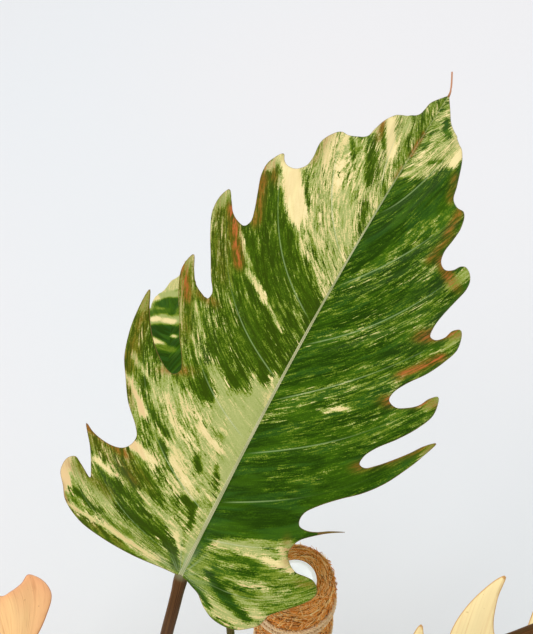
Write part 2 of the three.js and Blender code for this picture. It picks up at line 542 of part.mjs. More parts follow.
// The way a leaf stands: its right, forward and up directions.
function leafFrame(leaf) {
  const turn = new THREE.Matrix4().makeRotationZ(radians(leaf.heading - 90));
  turn.multiply(new THREE.Matrix4().makeRotationX(radians(leaf.pitch)));
  turn.multiply(new THREE.Matrix4().makeRotationY(radians(-leaf.roll)));
  return turn;
}

// The stalk: it clasps the stem at its node, arches up and meets the end of the blade's rib.
function stalkGeometry(leaf, stemGrown) {
  const frame = leafFrame(leaf);
  const base = vec(...leaf.base);
  const local = (x, y, z) => vec(x, y, z).applyMatrix4(frame).add(base);
  const drop = STALK.underBlade * leaf.scale;
  const route = [stemPoint(leaf.node - 10), ...leaf.via.map((p) => vec(...p)), local(0, -7 * leaf.scale, -drop), local(0, -STALK.gap, -drop)];
  const slim = STALK.topRadius * lerp(1, leaf.scale, 0.7);
  const stout = STALK.baseRadius * lerp(1, leaf.scale, 0.5);
  const bar = sweep(smoothCurve(route), 18, 8, (t) => lerp(slim, stout, (1 - t) ** 2.2));
  return geometryOf(solidOf(bar).subtract(stemGrown));
}

// The plant

const plant = new THREE.Group();
plant.name = 'potted_philodendron';

function add(name, geometry, colour, roughness) {
  const material = new THREE.MeshStandardMaterial({ color: COLOURS[colour], roughness, metalness: 0 });
  const mesh = new THREE.Mesh(geometry, material);
  mesh.name = name;
  plant.add(mesh);
  return mesh;
}

const stemGrown = stemSolid(CLEARANCE);
const poleHole = new THREE.CylinderGeometry(POLE.radius + CLEARANCE, POLE.radius + CLEARANCE, POLE.top, 30);
poleHole.rotateX(Math.PI / 2).translate(0, 0, POLE.bottom - CLEARANCE + POLE.top / 2);

add('pot', potGeometry(), 'glazed', 0.55);
add('soil', geometryOf(solidOf(soilGeometry()).subtract(solidOf(poleHole)).subtract(stemGrown)), 'soil', 0.95);
add('pole_pipe', pipeGeometry(), 'pipe', 0.35);
add('pole_coir', coirGeometry(), 'coir', 0.95);
add('pole_twine', twineGeometry(), 'twine', 0.9);
add('stem', geometryOf(stemSolid(0)), 'stem', 0.6);
for (const leaf of LEAVES) {
  add(`stalk_${leaf.number}`, stalkGeometry(leaf, stemGrown), 'stalk', 0.5);
  const blade = add(`blade_${leaf.number}`, bladeGeometry(leaf), leaf.colour, 0.4);
  blade.position.set(...leaf.base);
  blade.quaternion.setFromRotationMatrix(leafFrame(leaf));
}

export default plant;
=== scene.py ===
# %% [markdown]
# # A potted caramel marble philodendron
# This lesson dresses a finished frame of solids: a pot of bark, a coir pole, a climbing stem, and eight
# toothed leaves on long stalks. The frame gives every piece its place, in metres, with +Z up.
# Each step says what the piece is on the real plant, how it could be made, and why this way was chosen.

# %% Load the frame
import math

import bpy
import numpy as np
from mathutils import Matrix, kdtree
from mathutils.geometry import delaunay_2d_cdt


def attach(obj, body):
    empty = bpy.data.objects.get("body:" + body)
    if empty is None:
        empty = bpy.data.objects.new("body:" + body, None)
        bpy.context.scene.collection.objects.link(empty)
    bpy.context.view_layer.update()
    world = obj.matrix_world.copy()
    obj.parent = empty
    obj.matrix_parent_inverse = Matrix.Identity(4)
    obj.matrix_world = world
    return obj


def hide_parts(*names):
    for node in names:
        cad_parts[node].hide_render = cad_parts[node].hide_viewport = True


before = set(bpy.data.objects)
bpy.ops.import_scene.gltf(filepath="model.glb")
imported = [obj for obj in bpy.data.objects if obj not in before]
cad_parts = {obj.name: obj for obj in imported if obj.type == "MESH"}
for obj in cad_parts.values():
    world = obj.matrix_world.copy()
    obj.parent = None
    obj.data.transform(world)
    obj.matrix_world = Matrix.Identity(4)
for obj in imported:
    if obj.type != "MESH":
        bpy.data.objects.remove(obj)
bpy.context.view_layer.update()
MM = 0.001
print("frame nodes:", sorted(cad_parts))

# %% [markdown]
# ## Camera
# The photograph looks down on the plant from in front, so the camera stands above the pole and tips down.
# A camera can be aimed with a constraint, but two plain angles are enough here and are easier to read.

# %% Place the camera
PICTURE_HEIGHT = 634
FOCAL_PIXELS = 950.0
VIEW_DOWN = math.radians(52)
camera_data = bpy.data.cameras.new("camera")
camera_data.lens = camera_data.sensor_width * FOCAL_PIXELS / PICTURE_HEIGHT
camera = bpy.data.objects.new("camera", camera_data)
camera.location = (-0.0181, -0.2361, 1.1293)
camera.rotation_euler = (math.pi / 2 - VIEW_DOWN, 0, 0)
bpy.context.scene.collection.objects.link(camera)
bpy.context.scene.camera = camera
print("lens, mm:", round(camera_data.lens, 1))

# %% [markdown]
# ## A small mesh kit
# Every piece here is a surface that follows a rule, such as a leaf's outline or a fibre's route. Such forms
# could be modelled by hand, but a rule keeps them the same on each run and lets the eight leaves share work.
# So this kit gathers points and faces in millimetres and hands them to Blender as one smooth mesh.


# %% Points and faces in, a piece out
def new_piece(name, points, faces, skin, slot, *nodes):
    mesh = bpy.data.meshes.new(name)
    mesh.from_pydata(np.asarray(points, float) * MM, [], faces)
    mesh.shade_smooth()
    mesh.materials.append(skin)
    piece = bpy.data.objects.new(name, mesh)
    bpy.context.scene.collection.objects.link(piece)
    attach(piece, "root")
    if nodes:
        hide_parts(*nodes)
    print(f"{name}: {len(mesh.vertices)} points, {len(mesh.polygons)} faces")
    return piece


class Heap:
    """Points and faces of many small forms, gathered into one mesh."""

    def __init__(self):
        self.points = []
        self.faces = []
        self.count = 0

    def add(self, points, faces):
        self.faces.extend([tuple(int(i) + self.count for i in face) for face in faces])
        self.points.append(np.asarray(points, float))
        self.count += len(points)

    def all_points(self):
        return np.vstack(self.points)


def mark_points(piece, name, values):
    layer = piece.data.attributes.new(name, "FLOAT", "POINT")
    layer.data.foreach_set("value", np.asarray(values, np.float32))


print("one millimetre in the scene:", MM)


# %% A smooth line through a few stops
def walked_along(line):
    """The way walked from the start of a line to each of its points."""
    return np.concatenate([[0], np.cumsum(np.linalg.norm(np.diff(line, axis=0), axis=1))])


def smooth_line(stops, step):
    stops = np.asarray(stops, float)
    ends = np.vstack([2 * stops[0] - stops[1], stops, 2 * stops[-1] - stops[-2]])
    gaps = np.maximum(np.linalg.norm(np.diff(ends, axis=0), axis=1) ** 0.5, 1e-4)
    t = np.linspace(0, 1, 24, endpoint=False)[:, None]
    runs = []
    for i in range(1, len(ends) - 2):
        a, b, c, d = ends[i - 1 : i + 3]
        before, here, after = gaps[i - 1 : i + 2]
        leave = ((b - a) / before - (c - a) / (before + here) + (c - b) / here) * here
        arrive = ((c - b) / here - (d - b) / (here + after) + (d - c) / after) * here
        stay = (2 * t**3 - 3 * t**2 + 1) * b + (3 * t**2 - 2 * t**3) * c
        runs.append(stay + (t**3 - 2 * t**2 + t) * leave + (t**3 - t**2) * arrive)
    dense = np.vstack([*runs, stops[-1:]])
    walked = walked_along(dense)
    at = np.linspace(0, walked[-1], max(1, round(walked[-1] / step)) + 1)
    return np.stack([np.interp(at, walked, dense[:, k]) for k in range(dense.shape[1])], 1)


print("points on a test line:", len(smooth_line([(0, 0, 0), (6, 2, 0), (12, 0, 0)], 1.0)))


# %% A round bar along a line
def frames_along(line):
    ahead = np.gradient(line, axis=0)
    ahead /= np.linalg.norm(ahead, axis=1)[:, None]
    side = np.cross(ahead[0], (0.3, 0.5, 0.8))
    sides = []
    for way in ahead:
        side = side - way * np.dot(side, way)
        side = side / np.linalg.norm(side)
        sides.append(side)
    sides = np.array(sides)
    return sides, np.cross(ahead, sides)


def ring_faces(rows, around):
    """Four-sided faces between rows of points, each row a closed ring."""
    faces = []
    for i in range(rows - 1):
        for j in range(around):
            k = (j + 1) % around
            faces.append((i * around + j, i * around + k, (i + 1) * around + k, (i + 1) * around + j))
    return faces


def bar(line, radii, around, closed=True):
    across, up = frames_along(line)
    turn = np.arange(around) * 2 * math.pi / around
    ring = np.cos(turn)[None, :, None] * across[:, None] + np.sin(turn)[None, :, None] * up[:, None]
    radii = np.broadcast_to(radii, len(line))
    points = (line[:, None] + ring * radii[:, None, None]).reshape(-1, 3)
    faces = ring_faces(len(line), around)
    if closed:
        faces.append(tuple(range(around))[::-1])
        faces.append(tuple((len(line) - 1) * around + j for j in range(around)))
    return points, faces


print("faces of a test bar:", len(bar(np.array([(0.0, 0, 0), (0, 0, 5)]), 1.0, 8)[1]))


# %% [markdown]
# ## Mixing a finish
# A finish is a small network of nodes. It can be wired by hand in the Shader Editor; in code the same network
# reads best as a chain of short calls, so this kit adds one node a call and hands back its output.


# %% The finish kit
def paint(red, green, blue):
    """A colour as the eye names it, 0 to 255, in the linear numbers that Blender mixes."""
    shares = [c / 255 for c in (red, green, blue)]
    return tuple(s / 12.92 if s < 0.04045 else ((s + 0.055) / 1.055) ** 2.4 for s in shares) + (1.0,)


class Finish:
    def __init__(self, name, roughness=0.5, specular=0.5):
        self.material = bpy.data.materials.new(name)
        self.material.use_nodes = True
        self.tree = self.material.node_tree
        self.shader = self.tree.nodes["Principled BSDF"]
        self.shader.inputs["Roughness"].default_value = roughness
        self.shader.inputs["Specular IOR Level"].default_value = specular

    def node(self, kind, **settings):
        made = self.tree.nodes.new(kind)
        for key, value in settings.items():
            setattr(made, key, value)
        return made

    def feed(self, socket, value):
        if isinstance(value, bpy.types.NodeSocket):
            self.tree.links.new(value, socket)
        else:
            socket.default_value = value

    def value(self, name):
        return self.node("ShaderNodeAttribute", attribute_name=name).outputs["Fac"]

    def math(self, work, *numbers, clamp=False):
        made = self.node("ShaderNodeMath", operation=work, use_clamp=clamp)
        for socket, number in zip(made.inputs, numbers):
            self.feed(socket, number)
        return made.outputs[0]

    def times(self, first, *others):
        for other in others:
            first = self.math("MULTIPLY", first, other)
        return first

    def plus(self, first, second):
        return self.math("ADD", first, second)

    def minus(self, first, second):
        return self.math("SUBTRACT", first, second)

    def step(self, number, low, high, start=0.0, end=1.0):
        """0 to 1 as the number goes from low to high, with soft ends."""
        made = self.node("ShaderNodeMapRange", interpolation_type="SMOOTHSTEP")
        for socket, given in zip(made.inputs, (number, low, high, start, end)):
            self.feed(socket, given)
        return made.outputs[0]

    def place(self):
        return self.node("ShaderNodeTexCoord").outputs["Object"]

    def vector(self, x, y, z):
        made = self.node("ShaderNodeCombineXYZ")
        for socket, number in zip(made.inputs, (x, y, z)):
            self.feed(socket, number)
        return made.outputs[0]

    def stretched(self, vector, x, y, z):
        made = self.node("ShaderNodeVectorMath", operation="MULTIPLY")
        self.feed(made.inputs[0], vector)
        made.inputs[1].default_value = (x, y, z)
        return made.outputs[0]

    def grain(self, vector, scale, detail=2.0, roughness=0.5):
        made = self.node("ShaderNodeTexNoise")
        self.feed(made.inputs["Vector"], vector)
        made.inputs["Scale"].default_value = scale
        made.inputs["Detail"].default_value = detail
        made.inputs["Roughness"].default_value = roughness
        return made.outputs[0]

    def ramp(self, number, stops):
        made = self.node("ShaderNodeValToRGB")
        self.feed(made.inputs[0], number)
        bar_of = made.color_ramp.elements
        while len(bar_of) < len(stops):
            bar_of.new(0.5)
        for element, (position, colour) in zip(bar_of, stops):
            element.position = position
            element.color = colour
        return made.outputs[0]

    def mix(self, share, first, second, blend="MIX"):
        made = self.node("ShaderNodeMix", data_type="RGBA", blend_type=blend)
        self.feed(made.inputs[0], share)
        self.feed(made.inputs[6], first)
        self.feed(made.inputs[7], second)
        return made.outputs[2]

    def done(self, colour, height=None, depth=0.001, strength=1.0, roughness=None):
        self.feed(self.shader.inputs["Base Color"], colour)
        if roughness is not None:
            self.feed(self.shader.inputs["Roughness"], roughness)
        if height is not None:
            bump = self.node("ShaderNodeBump")
            bump.inputs["Strength"].default_value = strength
            bump.inputs["Distance"].default_value = depth
            self.feed(bump.inputs["Height"], height)
            self.feed(self.shader.inputs["Normal"], bump.outputs[0])
        return self.material


print("a leaf green in linear numbers:", [round(c, 3) for c in paint(68, 102, 12)])


# %% [markdown]
# ## The outline of a leaf
# A leaf of this kind is toothed: each lobe rises from the notch before it to its tip, and its side vein runs
# from the midrib into that tip. It could be cut from a plane with a picture as a mask, but then it has no
# true edge. So each lobe is given in real millimetres, measured on the leaf laid flat, and the edge is a
# smooth line through those points.

# %% Lobes of a grown and of a young leaf: root of the vein, its lean, rise, tip, fall and notch
LEAF_LENGTH = 370.0
BLADE_SHARE = 364 / LEAF_LENGTH
GROWN_LEFT = [
    (0, 0, [(-1, 10), (-3, 30), (-3, 50), (-1, 66), (5, 79), (11, 84), (18, 90)],
     (25.5, 90), [(28.5, 86), (26.5, 80)], (23, 71.5)),
    (7, 0.1, [(30, 75), (38, 81)], (48.5, 90), [(46, 84), (44.5, 77), (44.5, 69), (46.5, 63)], (51, 59.5)),
    (36, 0.35, [(56, 59), (61, 62.5), (71, 73.5), (83, 82.5), (93, 89.5), (106, 94.5), (120, 97.3)],
     (137.5, 98), [(127, 92), (116, 84.5), (108, 77), (102, 69.5), (98.5, 63)], (98, 57.5)),
    (84, 0.4, [(102, 55), (108, 57.5), (120, 66), (132, 73), (145, 81), (158, 86)],
     (169, 84.5), [(160, 79), (153, 74), (149, 68)], (147.3, 62.5)),
    (124, 0.45, [(152, 61.5), (160, 66.8), (173, 74.5), (186, 82.5), (200, 88.8)],
     (219, 87.5), [(212, 82), (205, 77), (201, 71.5)], (199.6, 66)),
    (166, 0.6, [(204, 64), (212, 65.8), (225, 70.5), (238, 75), (250, 75.5)],
     (260.5, 71), [(256, 68), (253.3, 64.5)], (253.3, 58)),
    (210, 0.9, [(257.5, 54), (265, 53), (280, 54)], (294.5, 47), [(294.5, 42), (297, 36)], (300.5, 31)),
    (262, 1.4, [(308, 29.5), (320, 26)], (331, 17), [(334, 12), (338, 9.4), (344, 8.4)], (351, 7.6)),
]
GROWN_RIGHT = [
    (-1, -0.3, [(-2, 8), (-4, 14), (-8, 20), (-11, 27), (-11.5, 35), (-10, 42), (-6, 48)],
     (-1, 53), [], (5, 55)),
    (4, 0, [(10, 58.5), (16, 64.5), (22, 70), (27, 73)],
     (31.5, 73.8), [(34.3, 70), (34.5, 64), (34, 58.5), (36.5, 53)], (41, 49.5)),
    (24, 0.3, [(46, 50), (50.5, 52.5), (57, 59.5), (62, 66)],
     (67.5, 74.5), [(63, 65.5), (59, 59), (57, 53.5)], (57.3, 48.5)),
    (46, 0.55, [(61, 46.8), (66, 47.7), (73, 53), (82, 62), (92, 73), (103, 82), (115, 89), (127, 95)],
     (139.5, 100), [(134, 94), (126, 88), (117, 80.5), (108.5, 72.5), (104.5, 67.5)], (105, 63.8)),
    (77, 0.65, [(110, 63.8), (118, 68), (129, 77), (141, 85), (153, 90)],
     (165, 88.5), [(161, 84), (154, 80), (148.5, 74), (145.2, 68)], (146.5, 62.5)),
    (112, 0.85, [(152, 62.5), (161, 67), (173, 75.5), (186, 82), (199, 86)],
     (211.5, 83), [(208, 78.5), (201, 75.8), (196, 71)], (196, 67.5)),
    (150, 0.85, [(202, 66.8), (212, 68.3), (224, 71), (236, 73.6), (244, 72.5)],
     (250, 67.5), [(248.5, 64), (243, 60.5), (240, 56)], (242.5, 51.8)),
    (192, 1.25, [(249, 50), (260, 51), (272, 51.5)], (283.5, 48.5), [(284, 43.5)], (287.5, 39)),
    (250, 1.5, [(298, 36.5), (311, 33), (321, 29)], (331, 23), [(337, 16.5), (343, 11.5)], (352, 7)),
]
YOUNG = [
    (0, -0.1, [(-7, 14), (-13, 36), (-15, 60), (-8, 75), (1, 83)], (9, 86), [(14, 71)], (28, 56)),
    (16, 0.3, [(42, 66), (56, 80)], (72, 88), [(66, 72)], (64, 45)),
    (48, 0.5, [(80, 60), (98, 82), (114, 93)], (130, 99), [(121, 84)], (112, 48)),
    (94, 0.6, [(125, 70), (140, 86), (162, 94)], (189, 95), [(176, 86), (163, 72)], (156, 42)),
    (144, 0.7, [(171, 56), (188, 69), (210, 79)], (238, 81), [(223, 64)], (214, 37)),
    (196, 0.9, [(234, 49), (256, 61)], (280, 62), [(268, 48)], (264, 29)),
    (246, 1.2, [(286, 38)], (318, 38), [(308, 27)], (310, 17)),
]
OUTLINES = {"grown": (GROWN_RIGHT, GROWN_LEFT), "young": (YOUNG, YOUNG)}
# Lobes of leaf 2 that would peep out beside the large leaf: leaf, side and lobe, and the share that stays
TRIMMED = {(2, 0, 7): 0.92, (2, 1, 0): 0.95, (2, 1, 1): 0.97}
print("lobes on the right, the left and a young half:", len(GROWN_RIGHT), len(GROWN_LEFT), len(YOUNG))


# %% The eight leaves: where each blade joins its stalk, the way it points, and how it arches
class Leaf:
    def __init__(self, number, outline, scale, teeth, vary, base, aim, arch, node, via, step):
        self.number = number
        self.outline = outline
        self.scale = scale
        self.teeth = teeth
        self.vary = vary
        self.base = np.array(base, float)
        self.heading, self.pitch, self.roll = aim
        self.bend, self.fold, self.curl = arch
        self.node = node
        self.via = via
        self.step = step
        self.mirrored = outline == "grown" and number % 2 == 1 and number > 1
        self.length = LEAF_LENGTH * scale


LEAVES = [
    Leaf(1, "grown", 1, 1, 0, (-67.3, -19.7, 613.2), (57.1, 25.9, -15.8), (22, 8, 22), 322,
         [(-42, -43, 384), (-78, -48, 456), (-85, -43, 522), (-78.6, -35.2, 560), (-72.4, -28.6, 588)], 1.25),
    Leaf(2, "grown", 0.46, 0.5, 0, (-102.3, 205.5, 430), (93, 12, 24), (26, 8, 26), 282,
         [(-42, -24, 334), (-48, 40, 382), (-74, 124, 416)], 1.2),
    Leaf(3, "young", 0.78, 1, 0, (-181, -17, 482), (182, 8.8, -22), (30, 12, 20), 362,
         [(-36, -70, 392), (-108, -60, 438)], 1.7),
    Leaf(4, "young", 1, 1, 0, (16, -178, 519), (28.3, 12.9, -24.4), (20, 8, 20), 386,
         [(-20, -86, 424), (-6, -146, 482)], 1.7),
    Leaf(5, "grown", 0.78, 1, 0.06, (-150, -46, 352), (186, -4, 6), (46, 12, 26), 244,
         [(-62, -48, 284), (-118, -48, 330)], 2.0),
    Leaf(6, "grown", 0.86, 1, 0.05, (197, -24, 600), (-14, -4, -10), (34, 10, 24), 342,
         [(16, -62, 392), (10, -70, 470), (4, -68, 552), (42, -70, 597), (111, -55, 606), (133, -48, 609)],
         2.0),
    Leaf(7, "grown", 0.7, 1, 0.06, (-76, -150, 318), (240, -14, 4), (46, 12, 26), 212,
         [(-34, -84, 246), (-62, -128, 290)], 2.0),
    Leaf(8, "grown", 0.76, 1, 0.06, (92, -104, 330), (322, -10, -6), (46, 12, 26), 184,
         [(16, -76, 236), (58, -92, 296)], 2.0),
]
print("leaf lengths, mm:", [round(leaf.length) for leaf in LEAVES])


# %% Each leaf's own lobes, at its own size
def rim_line(half, along):
    tips = np.array([lobe[3] for lobe in half], float)
    return float(np.interp(along, tips[:, 0], tips[:, 1], right=0))


def leaf_halves(leaf):
    halves = []
    for side, half in enumerate(OUTLINES[leaf.outline]):
        own = []
        for i, (root, lean, rise, tip, fall, notch) in enumerate(half):
            stretch = 1 + leaf.vary * math.sin(2.4 * i + 5.1 * leaf.number + side)
            stretch *= TRIMMED.get((leaf.number, side, i), 1)

            def placed(point, unhook=False, i=i, tip=tip, stretch=stretch, half=half):
                along, out = point
                if unhook and along < tip[0] and i > 1:
                    along = tip[0] + 3 + (along - tip[0] - 3) * leaf.teeth
                rim = rim_line(half, along)
                if i > 1 and out < rim:
                    out = rim + (out - rim) * leaf.teeth
                return np.array([along, out * stretch]) * leaf.scale

            own.append({
                "root": root * leaf.scale,
                "lean": lean / stretch,
                "rise": [placed(p) for p in rise],
                "tip": np.array([tip[0], tip[1] * stretch]) * leaf.scale,
                "fall": [placed(p, True) for p in fall],
                "notch": placed(notch, True),
            })
        halves.append(own)
    return halves[::-1] if leaf.mirrored else halves


def half_edge(half, leaf, step):
    stops = [np.array([-0.6, 4.2]) * leaf.scale]
    for lobe in half:
        stops += [*lobe["rise"], lobe["tip"], *lobe["fall"], lobe["notch"]]
    return smooth_line([*stops, (leaf.length * BLADE_SHARE, 1.0)], step)[:, ::-1]


def leaf_outline(leaf, halves, step):
    right, left = (half_edge(half, leaf, step) for half in halves)
    end = leaf.length * BLADE_SHARE
    drip = np.array([(1.0, 0), (0.2, 5), (-2, 12), (-6, 22)]) * leaf.scale + (0, end)
    drip[0, 0] = 1.0
    tip = smooth_line(drip, step)
    back = tip[::-1][1:-1] - (1.3, 0)
    return np.vstack([[(0.0, 0.0)], right, tip[1:], back, (left * (-1, 1))[::-1]])


large = LEAVES[0]
large_halves = leaf_halves(large)
print("points round the large leaf:", len(leaf_outline(large, large_halves, large.step)))


# %% [markdown]
# ## The surface of a leaf
# The real blade is never flat: it arches from stalk to tip, its halves rise from the midrib and turn down at
# the edge, and the skin swells between the side veins. Cloth simulation or sculpting could give that, but the
# frame already holds the large form, so the same rule is used here and finer relief is added to it.


# %% Side veins: where they run, and which of them a point is on
LAST_GAP = 60.0


def vein_along(lobe, out):
    tip_along, tip_out = lobe["tip"]
    sweep_on = (tip_along - lobe["root"] - lobe["lean"] * tip_out) / tip_out**3
    return lobe["root"] + lobe["lean"] * out + sweep_on * out**3


def vein_number(half, along, out):
    lines = np.array([vein_along(lobe, out) for lobe in half])
    above = lines > along
    following = np.where(above.any(axis=0), above.argmax(axis=0), len(half))
    before = np.clip(following - 1, 0, len(half) - 1)
    after = np.clip(following, 0, len(half) - 1)
    column = np.arange(len(out))
    low, high = lines[before, column], lines[after, column]
    between = before + (along - low) / np.where(high - low > 1e-9, high - low, 1)
    first = np.maximum(-0.5, (along - lines[0]) / LAST_GAP)
    last = len(half) - 1 + np.minimum(0.5, (along - lines[-1]) / LAST_GAP)
    return np.where(following == 0, first, np.where(following == len(half), last, between))


def number_at(halves, x, along, out):
    return np.where(x < 0, vein_number(halves[1], along, out), vein_number(halves[0], along, out))


third_left = vein_along(large_halves[1][2], 60.0)
print("third vein on the left, 60 mm out, is this far up, mm:", round(float(third_left), 1))


# %% For the marbling: numbers that run on past the last vein, and the way walked along a vein
def streak_number(half, along, out):
    past = along - vein_along(half[-1], out) - LAST_GAP / 2
    return vein_number(half, along, out) + np.maximum(0, past) / LAST_GAP


def streak_flow(half, number, along, out):
    roots = [lobe["root"] for lobe in half]
    roots += [roots[-1] + LAST_GAP, roots[-1] + 2 * LAST_GAP]
    return np.hypot(out, along - np.interp(number, np.arange(len(roots)), roots))


print("the marbling runs on past the last vein, mm:", 2 * LAST_GAP)


# %% Where a point of the flat leaf lies on the real one
SWELL = 2.4
WAVE = 3.2
BOW = 5.0


def leaf_surface(leaf, halves, x, y):
    out = np.abs(x)
    arch = math.radians(leaf.bend) / leaf.length
    fold = math.radians(leaf.fold)
    curl = -math.radians(leaf.curl) / (100 * leaf.scale)
    across = (np.sin(fold + curl * out) - math.sin(fold)) / curl
    raised = (math.cos(fold) - np.cos(fold + curl * out)) / curl
    number = number_at(halves, x, y, out)
    swell = SWELL * leaf.scale * np.sin(math.pi * number) ** 2 * np.minimum(1, out / (26 * leaf.scale))
    share = np.minimum(1, out / (95 * leaf.scale))
    wave = WAVE * leaf.scale * share**2 * np.sin(y / (27 * leaf.scale) + 1.7 * leaf.number + np.sign(x))
    bow = -BOW * leaf.scale * np.sin(math.pi * np.clip(y / leaf.length, 0, 1)) * (-1 if leaf.mirrored else 1)
    lift = raised + swell + wave
    turned = arch * y
    return np.stack([
        np.sign(x) * across + bow,
        np.sin(turned) / arch + lift * np.sin(turned),
        -(1 - np.cos(turned)) / arch + lift * np.cos(turned),
    ], 1)


def leaf_turn(leaf):
    a, b, c = (math.radians(angle) for angle in (leaf.heading - 90, leaf.pitch, -leaf.roll))
    about_z = np.array([[math.cos(a), -math.sin(a), 0], [math.sin(a), math.cos(a), 0], [0, 0, 1]])
    about_x = np.array([[1, 0, 0], [0, math.cos(b), -math.sin(b)], [0, math.sin(b), math.cos(b)]])
    about_y = np.array([[math.cos(c), 0, math.sin(c)], [0, 1, 0], [-math.sin(c), 0, math.cos(c)]])
    return about_z @ about_x @ about_y


tip_place = leaf_surface(large, large_halves, np.zeros(1), np.array([large.length]))[0]
print("the large leaf's tip droops by, mm:", round(float(-tip_place[2]), 1))


# %% [markdown]
# ## Marbling
# The marbling is not printed on: each cell line of the leaf grows outwards between the veins, so pale and
# green tissue lie in streaks that run with the side veins and end ragged. A picture could be wrapped on, but
# it would blur and it can't be shared by other leaves. So broad strokes say how pale each place is, in
# millimetres on the flat leaf, and the finish breaks their borders up with noise stretched along the veins.

